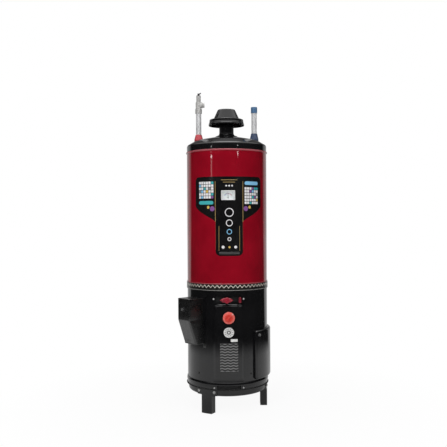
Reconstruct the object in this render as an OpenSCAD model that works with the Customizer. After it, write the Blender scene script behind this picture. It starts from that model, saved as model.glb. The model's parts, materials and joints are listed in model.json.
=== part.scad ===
// Floor-standing gas storage water heater: a flued steel tank in a red upper jacket,
// over a black lower jacket that holds the burner, the gas control and the igniter.
// Millimetres, +Z up, front towards -Y, origin on the tank's axis at floor level.

/* [Jackets] */
// Outside diameter of the two jackets
jacket_d = 400; // [380:5:420]
// Sheet thickness of jackets, covers and hood
sheet = 1.2; // [0.8:0.1:1.6]
// Height of the black lower jacket
lower_h = 471; // [450:1:520]
// Height of the printed band between the jackets
band_h = 31; // [24:1:40]
// Height of the red upper jacket
upper_h = 648; // [560:1:760]
// How far the printed band stands proud of the jackets
band_proud = 3.5; // [2:0.5:5]
// How far the rolled beads stand proud of the jackets
bead = 4.5; // [3:0.5:6]

/* [Base and legs] */
// Clear height under the base pan
leg_clear = 85; // [60:1:120]
// Depth of the base pan
pan_h = 33; // [28:1:45]
// Sheet thickness of the base pan
pan_t = 1.5; // [1:0.1:2.5]
// How far the pan's wall lies inside the jacket
pan_inset = 4; // [3:0.5:8]
// Rounding of the pan's lower edge
pan_corner = 14; // [8:1:18]
// Diameter of the air hole in the pan
air_hole_d = 110; // [80:1:120]
// Height of the base ring
ring_h = 34; // [28:1:40]
// How far the base ring's flat stands out from the jacket
ring_proud = 2.5; // [2:0.5:4]
// Width of the air slot in the base ring
slot_w = 114; // [80:1:120]
// Height of the air slot
slot_h = 16; // [10:1:18]
// Angle of the first leg from the front
leg_turn = -33; // [-45:1:-25]
// Width of a leg
leg_w = 57; // [45:1:70]
// Radial depth of a leg
leg_depth = 32; // [24:1:40]
// Sheet thickness of the legs
leg_t = 2.5; // [2:0.1:4]
// Span of a leg's ears, end to end
ear_span = 112; // [96:1:124]
// Diameter of the floor-fixing hole in each foot
foot_hole_d = 9; // [6:0.5:12]

/* [Tank and flue] */
// Outside diameter of the tank
tank_d = 344; // [320:1:350]
// Wall of the tank
tank_wall = 2.5; // [2:0.1:4]
// How far the tank reaches down into the lower jacket
tank_drop = 15.5; // [10:0.5:25]
// Room between the tank's top and the top cover's shoulder
head_room = 30; // [25:1:40]
// Rise of the dished tank bottom
dish_h = 35; // [20:1:50]
// Outside diameter of the flue tube
flue_d = 76; // [70:1:82]
// Wall of the flue tube
flue_wall = 2; // [1.5:0.1:3]
// Number of baffle plates in the flue
baffle_count = 7; // [4:1:9]

/* [Top cover and hood] */
// Height of the top cover's upright skirt
skirt_h = 30; // [20:1:40]
// Width of the steep shoulder round the top cover
shoulder_run = 42; // [34:1:48]
// Rise of that shoulder
shoulder_rise = 25; // [20:0.5:30]
// Diameter of the flat crown
crown_d = 116; // [112:1:130]
// Rise of the cone from the shoulder to the crown
crown_rise = 21.5; // [16:0.5:28]
// Outside diameter of the flue neck
neck_d = 73; // [64:1:73]
// Height of the neck above the crown
neck_h = 75; // [68:1:80]
// Height of the hood's lip above the crown
hood_lift = 58; // [50:1:62]
// Diameter of the hood's lip
hood_lip_d = 180; // [170:1:200]
// Diameter of the hood's flat shoulder
hood_shoulder_d = 166; // [156:1:170]
// Height of the hood's shoulder above its lip
hood_shoulder_h = 30; // [26:1:36]
// Diameter at the foot of the hood's crown
hood_base_d = 124; // [116:1:130]
// Diameter at the top of the hood
hood_top_d = 92; // [90:1:100]
// Height of the hood
hood_h = 80; // [72:1:100]
// Bore for the flue pipe at the top of the hood
throat_d = 82; // [76:0.5:84]

/* [Water pipes] */
// Distance between the two pipes
pipe_span = 280; // [250:1:290]
// Outside diameter of the pipes
pipe_d = 26.9; // [22:0.1:28]
// Bore of the pipes
pipe_bore = 21; // [18:0.1:22]
// Height of the hot pipe above the crown
pipe_h = 134; // [118:1:163]
// How much higher the cold pipe ends
cold_extra = 15; // [0:1:30]
// Height of the blue cap
cap_h = 30; // [24:1:36]

/* [Controls] */
// Width of the gas control
control_w = 132; // [130:1:140]
// Distance from the axis to the control's front face
control_front = 178; // [174:1:180]
// Depth of the gas control
control_depth = 50; // [45:1:54]
// Knob's axis below the tank
knob_drop = 111; // [104:1:120]
// Lever's axis below the tank
lever_drop = 27; // [24:1:32]
// Diameter of the knob
knob_d = 57; // [50:1:64]
// Depth of the knob
knob_h = 22; // [18:1:28]
// Diameter of the spindles
spindle_d = 8; // [6:0.5:10]
// Span of the lever's wings
lever_span = 62; // [56:1:74]
// Sideways place of the lever
lever_x = -10; // [-16:1:4]
// Sideways place of the pilot button
pilot_x = 54; // [50:1:56]
// Travel of the pilot button
pilot_travel = 6; // [4:0.5:8]
// Width of the front panel
panel_w = 145; // [125:1:150]
// Gap between the base ring and the front panel
panel_foot_gap = 3.5; // [2:0.5:8]
// Gap between the front panel and the control window
panel_head_gap = 2.5; // [2:0.5:8]
// Corner radius at the top of the panel
panel_corner = 26; // [12:1:34]
// How far the panel stands proud
panel_proud = 6; // [4:0.5:8]

/* [Ignition box] */
// Angle of the box from the front
box_turn = -50; // [-53:1:-47]
// Width of the box
box_w = 88; // [80:1:98]
// Reach of the box from the jacket
box_reach = 83; // [78:1:98]
// Height of the box
box_h = 222; // [208:1:232]
// Height of the upright part of its face
box_upright = 103; // [90:1:115]
// How far the lower face slants in
box_slant = 42; // [30:1:45]
// Sheet thickness of the box
box_wall = 1.5; // [1:0.1:2]
// Distance from the band down to the box's top
box_drop = 36; // [28:1:42]
// Diameter of the igniter button
button_d = 12; // [10:0.5:14]
// Travel of the igniter button
button_travel = 5; // [3:0.5:6]
// Outside diameter of the gas nipple
nipple_d = 20.6; // [18:0.1:22]

/* [Burner and door] */
// Outside diameter of the firebox
fire_d = 232; // [226:1:240]
// Wall of the firebox
fire_wall = 1.5; // [1:0.1:2]
// Diameter of the burner head
burner_d = 150; // [140:1:154]
// Height of the burner above the pan
burner_lift = 130; // [115:1:140]
// Height of the burner head
burner_h = 30; // [26:1:40]
// Angle where the burner door starts
door_from = 38; // [35:1:40]
// Angle where the burner door ends
door_to = 112; // [110:1:116]
// Height of the door's lower edge above the jacket's edge
door_rise = 38.5; // [36:0.5:44]
// Height of the burner door
door_h = 237; // [220:1:245]
// How far the door stands out from the jacket
door_proud = 16; // [14:0.5:18]
// Diameter of the hinge pin
hinge_pin_d = 6; // [5:0.5:7]

/* [Thermometer] */
// Height of the thermometer above the red jacket's lower edge
gauge_rise = 425; // [380:1:450]
// Width of the thermometer
gauge_w = 67; // [60:1:76]
// Height of the thermometer
gauge_h = 46; // [40:1:54]

/* [Clearances] */
// Gap between fixed pieces that slip together
slip = 0.3; // [0.2:0.05:0.4]
// Running gap of a shaft in its bore
run = 0.05; // [0.02:0.01:0.1]

/* [Hidden] */
$fn = 64;
jacket_r = jacket_d / 2;
pan_r = jacket_r - pan_inset;
ring_r = jacket_r + ring_proud;
tank_r = tank_d / 2;
flue_r = flue_d / 2;
neck_r = neck_d / 2;
pipe_r = pipe_d / 2;
fire_r = fire_d / 2;
burner_r = burner_d / 2;
spindle_r = spindle_d / 2;
z_pan = leg_clear;
z_seat = z_pan + pan_h;
z_low = z_seat + pan_t;
z_band = z_low + lower_h;
z_up = z_band + band_h;
z_top = z_up + upper_h;
z_shoulder = z_top + skirt_h;
z_crown = z_shoulder + shoulder_rise + crown_rise;
z_tank = z_band - tank_drop;
z_head = z_shoulder - head_room;
z_lip = z_crown + hood_lift;
z_hot = z_crown + pipe_h;
z_cold = z_hot + cold_extra;
z_knob = z_tank - knob_drop;
z_lever = z_tank - lever_drop;
z_gauge = z_up + gauge_rise;

// Tank heads and insulation
head_knuckle = 20;
insulation_gap = 0.5;
insulation_drop = 6;
anode_y = 110;
anode_r = 10;
anode_plug_r = 12;
dip_r = 9.8;
nut_r = 20;
nut_h = 10;
pipe_inside = 25;

// Leg bolts
leg_angles = [for (k = [0:2]) leg_turn + 120 * k];
leg_r = pan_r + slip;
bolt_r = 3;
bolt_head_r = 6.5;
bolt_head_h = 4.5;
bolt_nut_h = 5;
bolt_angle = asin((leg_w + ear_span) / 4 / leg_r);
z_bolt = z_pan + pan_corner + bolt_head_r;
ear_low = z_pan + 3;

// Base ring and its slot
ring_flat = 12;
slot_z = z_low + 3;

// Case screws: angle, height and radius of the seat
screw_r = 1.9;
screw_head_r = 4;
screw_head_h = 2.5;
screw_len = 9;
panel_screw_x = 71;
panel_screw_z = z_lever + 4;
lug_w = 17;
lug_t = 2;
lug_h = 20;
lug_lap = 4;
leaf_span = 11;
ring_screw_turn = 20;
ring_screws = [for (k = [0:2], s = [-1, 1]) [120 * k + s * ring_screw_turn, z_low + 8, ring_r]];
panel_screws = [for (s = [-1, 1]) [asin(s * panel_screw_x / jacket_r), panel_screw_z, jacket_r]];
side_screws = [for (a = [-46, 33]) [a, z_low + 70, jacket_r]];

// Control face, window and front panel
window_w = 126;
window_h = 37;
boss_r = 14;
boss_h = 9;
probe_r = 5;
probe_x = -25;
probe_len = 105;
z_control = z_knob - 22;
control_mid = control_front - control_depth / 2;
spindle_depth = 12;
panel_z = z_low + ring_h + panel_foot_gap;
panel_h = z_lever - window_h / 2 - panel_head_gap - panel_z;
panel_r = jacket_r + slip + panel_proud;
knob_back = panel_r + 2;
lever_back = panel_r + 1.5;
lever_t = 10;
lever_hub_r = 14;
pilot_w = 12;
pilot_tall = 28;
pilot_t = 14;
pilot_back = jacket_r - 4;

// Ignition box and gas inlet
box_r = jacket_r + box_reach;
box_corner = 8;
z_box = z_band - box_drop;
z_button = z_box - box_upright / 2;
igniter_r = 9;
igniter_flange_r = 13;
igniter_flange_t = 3;
igniter_len = 42;
inlet_out = 22;
inlet_turn = box_turn - 1;
inlet_x = (jacket_r + inlet_out) * sin(inlet_turn);
inlet_y = -(jacket_r + inlet_out) * cos(inlet_turn);
z_inlet = z_knob + 6;
inlet_r = nipple_d / 2 + 0.4;
elbow_r = inlet_r + 5;
elbow_flat = inlet_r + 0.5;
nipple_len = 125;
nipple_thread = 24;
vent_count = 3;
vent_rise = 24;
lead_r = 2.2;
lead_side = 28;
z_lead = z_box - 160;

// Burner, pilot group and their tubes
post_r = 4;
post_ring = air_hole_d / 2 + 11;
z_burner = z_pan + burner_lift;
z_mix = z_burner + burner_h / 2;
mix_r = 13.5;
mix_wall = 2;
mix_end = 158;
supply_r = 6;
supply_y = -167;
jet_r = 4;
bend_share = 1.3;
tube_y = -150;
z_tubes = z_burner - 10;
bracket_t = 3;
z_bracket = z_burner + 1;
pilot_at = [39, -84];
couple_at = [51, -80];
spark_at = [27, -86];
port_count = 24;
hatch_y = [-75, 15];
hatch_z = [z_burner - 25, z_burner + 145];

// Door, hinge and latch
door_r = jacket_r + door_proud;
z_door = z_low + door_rise;
hatch_from = door_from + 3;
hatch_to = door_to - 3;
hatch_margin = 12;
pivot_a = door_to + 3.5;
pivot_r = jacket_r + door_proud / 2;
knuckle_r = hinge_pin_d / 2 + 2.5;
knuckle_h = 30;
latch_a = hatch_from + 2.5;
z_latch = z_door + door_h - hatch_margin - 10;
latch_r = 7;
latch_stem_r = 3;
cam_len = 20;
cam_w = 8;

// Relief valve, collars and cap
collar_r = 22;
collar_edge = 2;
collar_sink = 4;
hot_collar_h = 23;
cold_collar_h = 29;
valve_socket = 14;
valve_low_h = 42;
valve_barrel_h = 76;
valve_r = 14.5;
valve_barrel_r = 11;
valve_bore_r = 8;
outlet_z = z_hot + 28;
outlet_reach = 30;
outlet_r = 12;
ear_t = 3;
ear_gap = 7.6;
ear_h = 10;
lever_pin_r = 1.5;
lever_tip = 14;
lever_tilt = 35;
cap_wall = 2.2;
cap_top = 2.5;

// Thermometer
gauge_proud = 6;
gauge_frame = 4;
gauge_depth = 14;
gauge_face = jacket_r + gauge_proud;
lens_t = 1.2;
dial_t = 1;
needle_t = 1;
needle_len = 25;
needle_hub_r = 3;
needle_pin_r = 1;
needle_z = z_gauge - 12;
stem_r = 5;

// Paints and finishes
black_paint = [0.04, 0.04, 0.045];
red_paint = [0.53, 0.04, 0.11];
red_plastic = [0.8, 0.12, 0.12];
blue_plastic = [0.16, 0.33, 0.52];
bare_steel = [0.62, 0.63, 0.65];
brass = [0.72, 0.58, 0.3];

// Points of a circular arc from one angle to another
function arc(center, r, from, to, steps) =
  [for (i = [0:steps]) let (a = from + (to - from) * i / steps) center + r * [cos(a), sin(a)]];

// Points from p to q along a shallow parabola that bows to the right of the chord
function bow(p, q, rise, steps) =
  let (d = q - p, n = [d.y, -d.x] / norm(d))
  [for (i = [0:steps]) let (t = i / steps) p + d * t + n * 4 * rise * t * (1 - t)];

// Inner side of a skin whose outer side climbs inwards, in reverse order
function inner_side(p, t) =
  let (n = len(p) - 1)
  [for (i = [n:-1:0]) p[i] - [i == n ? 0 : t, i == 0 ? 0 : t]];

// A point turned about the axis by an angle
function turned(p, a) =
  [p.x * cos(a) - p.y * sin(a), p.x * sin(a) + p.y * cos(a), p.z];

// Thin revolved skin under an outer profile that climbs inwards
module skin(profile, t) {
  rotate_extrude() polygon(concat(profile, inner_side(profile, t)));
}

// Upright tube
module tube(r_out, r_in, z0, z1) {
  translate([0, 0, z0]) difference() {
    cylinder(r = r_out, h = z1 - z0);
    translate([0, 0, -1]) cylinder(r = r_in, h = z1 - z0 + 2);
  }
}

// Round bar along a radius at an angle from the front
module radial_bar(a, z, r, from, to) {
  rotate([0, 0, a]) translate([0, -from, z]) rotate([90, 0, 0]) cylinder(r = r, h = to - from);
}

// Round bar along the front axis, between two distances in front of the tank's axis
module front_bar(x, z, r, from, to) {
  translate([x, -from, z]) rotate([90, 0, 0]) cylinder(r = r, h = to - from);
}

// Slab whose outline is given as distance from the axis and height, centred on the front
module side_slab(points, width) {
  rotate([90, 0, -90]) linear_extrude(height = width, center = true) polygon(points);
}

// Sector of a ring between two angles from the front
module sector(r_in, r_out, from, to, z0, z1) {
  rotate([0, 0, from - 90])
    rotate_extrude(angle = to - from) translate([r_in, z0]) square([r_out - r_in, z1 - z0]);
}

// Round tube through a list of points, with upright drums at the bends
module tube_run(points, r) {
  for (i = [0:len(points) - 2]) {
    d = points[i + 1] - points[i];
    translate(points[i]) rotate([0, acos(d.z / norm(d)), atan2(d.y, d.x)])
      cylinder(r = r, h = norm(d));
  }
  for (i = [1:1:len(points) - 2])
    translate(points[i]) cylinder(r = bend_share * r, h = 2 * bend_share * r, center = true);
}

// Case screw with a flat round head
module screw(s) {
  radial_bar(s[0], s[1], screw_head_r, s[2] + slip / 3, s[2] + screw_head_h);
  radial_bar(s[0], s[1], screw_r, s[2] - screw_len, s[2] + 1);
}

// Clearance holes for a list of screws
module screw_holes(list) {
  for (s = list) radial_bar(s[0], s[1], screw_r + slip, s[2] - screw_len - 5, s[2] + 5);
}

// Places of the screws in the box's lugs and the hinge leaf
z_lug = z_box - box_h + lug_lap - lug_h / 2;
lug_screws = [for (s = [-1, 1])
  [box_turn + s * asin((box_w / 2 + lug_w / 2) / jacket_r), z_lug, jacket_r + slip + lug_t]];
leaf_mid = pivot_a + 2 + leaf_span / 2;
leaf_screws = [for (k = [0, 2, 4])
  [leaf_mid + 1, z_knuckle(k) + knuckle_h / 2, jacket_r + slip + lug_t]];

// Legs: a web that follows the pan's wall, two side flanges, ears and a drilled foot
module leg(a) {
  flange_y = -sqrt(leg_r * leg_r - leg_w * leg_w / 4) - leg_t / 2;
  color(black_paint) rotate([0, 0, a]) difference() {
    union() {
      intersection() {
        tube(leg_r + leg_t, leg_r, 0, z_seat);
        union() {
          translate([-leg_w / 2, -1.5 * leg_r, 0]) cube([leg_w, leg_r, z_seat]);
          translate([-ear_span / 2, -1.5 * leg_r, ear_low])
            cube([ear_span, leg_r, z_seat - ear_low]);
        }
      }
      for (s = [-1, 1])
        translate([s * (leg_w - leg_t) / 2 - leg_t / 2, flange_y, 0])
          cube([leg_t, leg_depth, leg_clear]);
      translate([-leg_w / 2, flange_y, 0]) cube([leg_w, leg_depth, leg_t]);
    }
    translate([0, flange_y + leg_depth / 2, -1]) cylinder(d = foot_hole_d, h = leg_t + 2);
    for (s = [-1, 1])
      radial_bar(s * bolt_angle, z_bolt, bolt_r + slip, leg_r - 5, leg_r + leg_t + 5);
  }
}

module leg_front() { leg(leg_angles[0]); }
module leg_right() { leg(leg_angles[1]); }
module leg_rear() { leg(leg_angles[2]); }

// Two bolts with nuts for each leg
module leg_bolts() {
  inside = pan_r - pan_t - slip;
  color(bare_steel) for (a = leg_angles, s = [-1, 1]) {
    radial_bar(a + s * bolt_angle, z_bolt, bolt_head_r, leg_r + leg_t + slip / 2,
               leg_r + leg_t + bolt_head_h);
    radial_bar(a + s * bolt_angle, z_bolt, bolt_r, inside - bolt_nut_h - 2, leg_r + leg_t + 1);
    radial_bar(a + s * bolt_angle, z_bolt, bolt_head_r - 0.5, inside - bolt_nut_h, inside);
  }
}

// Pan with a rounded lower edge, an air hole and a rim that carries jacket and ring
module base_pan() {
  outer = concat([[air_hole_d / 2, z_pan]],
    arc([pan_r - pan_corner, z_pan + pan_corner], pan_corner, -90, 0, 8),
    [[pan_r, z_seat], [ring_r + 0.5, z_seat], [ring_r + 0.5, z_low]]);
  inner = concat([[pan_r - pan_t, z_low]],
    arc([pan_r - pan_corner, z_pan + pan_corner], pan_corner - pan_t, 0, -90, 8),
    [[air_hole_d / 2, z_pan + pan_t]]);
  color(black_paint) difference() {
    rotate_extrude() polygon(concat(outer, inner));
    for (a = leg_angles, s = [-1, 1])
      radial_bar(a + s * bolt_angle, z_bolt, bolt_r + slip, pan_r - 10, pan_r + 2);
  }
}

// Slot for combustion air, cut through the ring and the jacket
module air_slot() {
  translate([-slot_w / 2, -jacket_r - 20, slot_z]) cube([slot_w, 60, slot_h]);
}

// Ring round the jacket's foot: a flat with a rolled bead over it
module base_ring() {
  inside = jacket_r + slip;
  color(black_paint) difference() {
    rotate_extrude() polygon(concat([[inside, z_low], [ring_r, z_low]],
      bow([ring_r, z_low + ring_flat], [ring_r - 1, z_low + ring_h], 2.5, 8),
      [[inside, z_low + ring_h]]));
    air_slot();
    screw_holes(ring_screws);
  }
}

// All small screws of the case
module case_screws() {
  color(bare_steel)
    for (s = concat(ring_screws, panel_screws, side_screws, lug_screws, leaf_screws)) screw(s);
}

// Black jacket with the control window, the burner hatch and the service holes
module lower_jacket() {
  color(black_paint) difference() {
    tube(jacket_r, jacket_r - sheet, z_low, z_band);
    air_slot();
    translate([-window_w / 2, -jacket_r - 5, z_lever - window_h / 2])
      cube([window_w, 40, window_h]);
    front_bar(0, z_knob, spindle_r + 5, jacket_r - 20, jacket_r + 5);
    sector(jacket_r - 10, jacket_r + 10, hatch_from, hatch_to,
           z_door + hatch_margin, z_door + door_h - hatch_margin);
    translate([inlet_x, inlet_y, z_inlet]) rotate([0, 90, 0])
      cylinder(r = inlet_r + 3, h = 80);
    rotate([0, 0, box_turn]) front_bar(lead_side, z_lead, lead_r + 2, jacket_r - 20, jacket_r + 5);
    screw_holes(concat(ring_screws, panel_screws, side_screws, lug_screws, leaf_screws));
  }
}

// Outline of the front panel, inset by a margin: square foot, round top corners
module panel_outline(inset) {
  r = panel_corner - inset;
  w = panel_w / 2 - inset;
  h = panel_h - inset;
  translate([-w, inset]) square([2 * w, h - inset - r]);
  translate([-w + r, inset]) square([2 * (w - r), h - inset]);
  for (s = [-1, 1]) translate([s * (w - r), h - r]) circle(r);
}

// Front block of a panel outline, to be met with a ring
module panel_block(inset) {
  translate([0, 0, panel_z]) rotate([90, 0, 0]) linear_extrude(height = 2 * jacket_r)
    panel_outline(inset);
}

// Pressed front panel: a curved pan standing proud of the jacket
module front_panel() {
  color(black_paint) difference() {
    intersection() {
      tube(panel_r, jacket_r + slip, panel_z, panel_z + panel_h);
      panel_block(0);
    }
    intersection() {
      tube(panel_r - sheet, jacket_r - 5, panel_z - 1, panel_z + panel_h + 1);
      panel_block(sheet);
    }
    front_bar(0, z_knob, spindle_r + 2, jacket_r - 20, panel_r + 5);
  }
}

// Red knob: a skirted disc with a grip bar across it
module control_knob() {
  r = knob_d / 2;
  skirt_t = 0.32 * knob_h;
  color(red_plastic) difference() {
    union() {
      translate([0, -knob_back, z_knob]) rotate([90, 0, 0]) rotate_extrude()
        polygon(concat([[0, 0], [r, 0]], arc([r - 2.5, skirt_t - 2.5], 2.5, 0, 90, 4),
          [[0.78 * r, skirt_t], [0.74 * r, 0.66 * knob_h], [0.66 * r, 0.72 * knob_h],
           [0, 0.72 * knob_h]]));
      intersection() {
        front_bar(0, z_knob, 0.66 * r, knob_back + 0.5 * knob_h, knob_back + knob_h);
        translate([0, -knob_back, z_knob]) rotate([0, 45, 0])
          translate([-0.16 * r, -knob_h, -r]) cube([0.32 * r, knob_h, 2 * r]);
      }
    }
    front_bar(0, z_knob, spindle_r + run, knob_back - 1, knob_back + 0.5 * knob_h);
  }
}

// Spindle from the gas control to the knob
module knob_spindle() {
  color(bare_steel)
    front_bar(0, z_knob, spindle_r, control_front - spindle_depth + slip,
              knob_back + 0.5 * knob_h - slip);
}

// Leaf-shaped wing of the lever, drawn as the lens between two circles
module wing_outline(half_len, half_width) {
  r = (half_len * half_len + half_width * half_width) / (2 * half_width);
  intersection() {
    translate([0, r - half_width]) circle(r);
    translate([0, half_width - r]) circle(r);
  }
}

// Red winged lever of the gas cock, on its own spindle
module gas_lever() {
  half = 0.33 * lever_span;
  color(red_plastic) translate([lever_x, 0, z_lever]) {
    translate([0, -lever_back, 0]) rotate([90, 0, 0]) linear_extrude(height = lever_t)
      for (s = [-1, 1]) translate([s * (lever_span / 2 - half), 0]) wing_outline(half, 10);
    front_bar(0, 0, lever_hub_r, lever_back, lever_back + 1.5 * lever_t);
    front_bar(0, 0, spindle_r, control_front - spindle_depth + slip, lever_back + 1);
  }
}

// Red oblong button that holds the pilot valve open
module pilot_button() {
  flat = (pilot_tall - pilot_w) / 2;
  color(red_plastic) translate([pilot_x, 0, z_lever]) {
    for (s = [-1, 1]) front_bar(0, s * flat, pilot_w / 2, pilot_back, pilot_back + pilot_t);
    translate([-pilot_w / 2, -pilot_back - pilot_t, -flat]) cube([pilot_w, pilot_t, 2 * flat]);
    front_bar(0, 0, spindle_r / 2, control_front - spindle_depth + pilot_travel + slip,
              pilot_back + 1);
  }
}

// Solid of the ignition box, inset by its wall: upright face over a slanted one
module box_body(inset) {
  low = z_box - box_h;
  face = box_r - inset;
  half = box_w / 2 - inset;
  straight = box_w / 2 - box_corner;
  intersection() {
    side_slab([[jacket_r - 60, z_box - inset], [face, z_box - inset], [face, z_box - box_upright],
      [face - box_slant, low], [face - box_slant, low - 2 * inset], [jacket_r - 60, low - 2 * inset]],
      box_w - 2 * inset);
    translate([0, 0, low - 10]) linear_extrude(height = box_h + 20) {
      translate([-half, -box_r + box_corner]) square([2 * half, box_reach + 60]);
      translate([-straight, -face]) square([2 * straight, box_reach]);
      for (s = [-1, 1]) translate([s * straight, -box_r + box_corner]) circle(box_corner - inset);
    }
  }
}

// Sheet box over the gas inlet and the igniter, open below and towards the jacket
module ignition_box() {
  lug_span = box_w + 2 * lug_w;
  vent_z = z_box - box_h + vent_rise;
  color(black_paint) difference() {
    rotate([0, 0, box_turn]) {
      difference() {
        box_body(0);
        box_body(box_wall);
        cylinder(r = jacket_r + slip, h = z_up);
        front_bar(0, z_button, igniter_r + slip, box_r - 20, box_r + 5);
        for (k = [0:vent_count - 1])
          translate([(k - (vent_count - 1) / 2) * 22 - 2.5, -box_r, vent_z])
            cube([5, box_slant + 20, 16]);
      }
      intersection() {
        tube(jacket_r + slip + lug_t, jacket_r + slip, z_lug - lug_h / 2, z_lug + lug_h / 2);
        difference() {
          translate([-lug_span / 2, -box_r, z_lug - lug_h]) cube([lug_span, box_r, 2 * lug_h]);
          translate([-box_w / 2 + box_wall, -2 * box_r, z_lug - 2 * lug_h])
            cube([box_w - 2 * box_wall, 3 * box_r, 4 * lug_h]);
        }
      }
    }
    screw_holes(lug_screws);
  }
}

// Piezo igniter with a flange outside the box's face
module piezo_igniter() {
  color([0.12, 0.12, 0.13]) rotate([0, 0, box_turn]) difference() {
    union() {
      front_bar(0, z_button, igniter_flange_r, box_r, box_r + igniter_flange_t);
      front_bar(0, z_button, igniter_r, box_r - igniter_len, box_r + 1);
    }
    front_bar(0, z_button, button_d / 2 + run, box_r - igniter_len + 12, box_r + 10);
  }
}

// Igniter button
module igniter_button() {
  r = button_d / 2;
  from = box_r - igniter_len + 12 + button_travel + slip;
  out = box_r + igniter_flange_t + button_travel + 3;
  color([0.75, 0.75, 0.74]) rotate([0, 0, box_turn]) translate([0, -from, z_button])
    rotate([90, 0, 0]) rotate_extrude()
      polygon(concat([[0, 0], [r, 0]], arc([r - 2, out - from - 2], 2, 0, 90, 5), [[0, out - from]]));
}

// Curved burner door: a pan with two hinge knuckles along its rear edge
module burner_door() {
  inset_a = sheet / jacket_r * 180 / PI;
  tab = (pivot_r + knuckle_r) * sin(pivot_a - door_to) + sheet / 3;
  color(black_paint) difference() {
    union() {
      difference() {
        sector(jacket_r + slip, door_r, door_from, door_to, z_door, z_door + door_h);
        sector(jacket_r - 5, door_r - sheet, door_from + inset_a, door_to - inset_a,
               z_door + sheet, z_door + door_h - sheet);
      }
      for (k = [1, 3]) rotate([0, 0, pivot_a]) translate([0, -pivot_r, z_knuckle(k)]) {
        cylinder(r = knuckle_r, h = knuckle_h);
        translate([-tab, -knuckle_r, 0]) cube([tab, knuckle_r, knuckle_h]);
      }
    }
    rotate([0, 0, pivot_a]) translate([0, -pivot_r, z_door - 5])
      cylinder(d = hinge_pin_d + 2 * run, h = door_h + 10);
    radial_bar(latch_a, z_latch, latch_stem_r + run, door_r - 10, door_r + 5);
  }
}

// Height of the foot of a hinge knuckle; even ones belong to the leaf, odd ones to the door
function z_knuckle(k) = z_door + door_h / 2 + (k - 2) * (knuckle_h + 2 * slip) - knuckle_h / 2;

// Hinge leaf on the jacket, with the three fixed knuckles
module hinge_leaf() {
  leaf_r = jacket_r + slip;
  web = pivot_r - leaf_r - lug_t / 2;
  color(black_paint) difference() {
    union() {
      sector(leaf_r, leaf_r + lug_t, pivot_a, leaf_mid + leaf_span / 2,
             z_knuckle(0), z_knuckle(4) + knuckle_h);
      for (k = [0, 2, 4]) rotate([0, 0, pivot_a]) translate([0, -pivot_r, z_knuckle(k)]) {
        cylinder(r = knuckle_r, h = knuckle_h);
        cube([knuckle_r, web, knuckle_h]);
      }
    }
    rotate([0, 0, pivot_a]) translate([0, -pivot_r, z_door - 5])
      cylinder(d = hinge_pin_d + 2 * run, h = door_h + 10);
    screw_holes(leaf_screws);
  }
}

// Hinge pin with a head above the top knuckle
module hinge_pin() {
  color(bare_steel) rotate([0, 0, pivot_a]) translate([0, -pivot_r, 0]) {
    translate([0, 0, z_knuckle(0) - 2])
      cylinder(d = hinge_pin_d, h = z_knuckle(4) - z_knuckle(0) + knuckle_h + 4);
    translate([0, 0, z_knuckle(4) + knuckle_h + slip]) cylinder(d = hinge_pin_d + 3, h = 3);
  }
}

// Quarter-turn latch: a head outside, a stem and a cam that turns behind the jacket
module door_latch() {
  cam_out = jacket_r - sheet - 1;
  color(bare_steel) rotate([0, 0, latch_a]) {
    front_bar(0, z_latch, latch_r, door_r + slip, door_r + 5);
    translate([-1.2, -door_r - 8, z_latch - latch_r]) cube([2.4, 4, 2 * latch_r]);
    front_bar(0, z_latch, latch_stem_r, cam_out - 3, door_r + 1);
    translate([-cam_w / 2, -cam_out, z_latch - cam_len + cam_w / 2]) cube([cam_w, 3, cam_len]);
  }
}

// Printed band: an open channel ring that carries the upper jacket
module deco_band() {
  out = jacket_r + band_proud;
  deep = tank_r + 10;
  color([0.1, 0.1, 0.1]) rotate_extrude()
    polygon([[deep, z_band], [out, z_band], [out, z_up], [deep, z_up], [deep, z_up - sheet],
      [out - sheet, z_up - sheet], [out - sheet, z_band + sheet], [deep, z_band + sheet]]);
}

// Red jacket with a rolled bead at each end and a cut-out for the thermometer
module upper_jacket() {
  inside = jacket_r - sheet;
  color(red_paint) difference() {
    rotate_extrude() polygon(concat([[inside, z_up]],
      arc([jacket_r, z_up + 0.6 * bead], 0.6 * bead, -90, 90, 8),
      arc([jacket_r, z_top - bead], bead, -90, 90, 8),
      [[inside, z_top]]));
    translate([-gauge_w / 2 + gauge_frame / 2, -jacket_r - 10, z_gauge - gauge_h / 2 + gauge_frame / 2])
      cube([gauge_w - gauge_frame, 60, gauge_h - gauge_frame]);
  }
}

// Box on the front axis, centred on the thermometer, between two distances from the axis
module gauge_box(w, h, from, to) {
  translate([-w / 2, -to, z_gauge - h / 2]) cube([w, to - from, h]);
}

// Thermometer housing: a frame outside the jacket, a body through it and a stem to the tank
module thermometer_case() {
  w = gauge_w - gauge_frame - 2 * slip;
  h = gauge_h - gauge_frame - 2 * slip;
  back = gauge_face - gauge_depth;
  color([0.75, 0.75, 0.76]) difference() {
    union() {
      difference() {
        gauge_box(gauge_w, gauge_h, jacket_r - 20, gauge_face);
        translate([0, 0, z_gauge - gauge_h]) cylinder(r = jacket_r + slip, h = 2 * gauge_h);
      }
      gauge_box(w, h, back, gauge_face - 1);
      front_bar(0, z_gauge, stem_r, tank_r + slip, back + 1);
    }
    gauge_box(w - 2 * gauge_frame + 4, h - 2 * gauge_frame + 4, back + 1.5, gauge_face + 1);
  }
}

// Dial plate with the needle's pivot pin
module thermometer_dial() {
  w = gauge_w - 3 * gauge_frame + 4 - 4 * slip;
  h = gauge_h - 3 * gauge_frame + 4 - 4 * slip;
  back = gauge_face - gauge_depth + 1.5;
  color([0.86, 0.86, 0.84]) {
    gauge_box(w, h, back, back + dial_t);
    front_bar(0, needle_z, needle_pin_r, back + 0.5, back + dial_t + needle_t + 1.5);
  }
}

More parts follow.
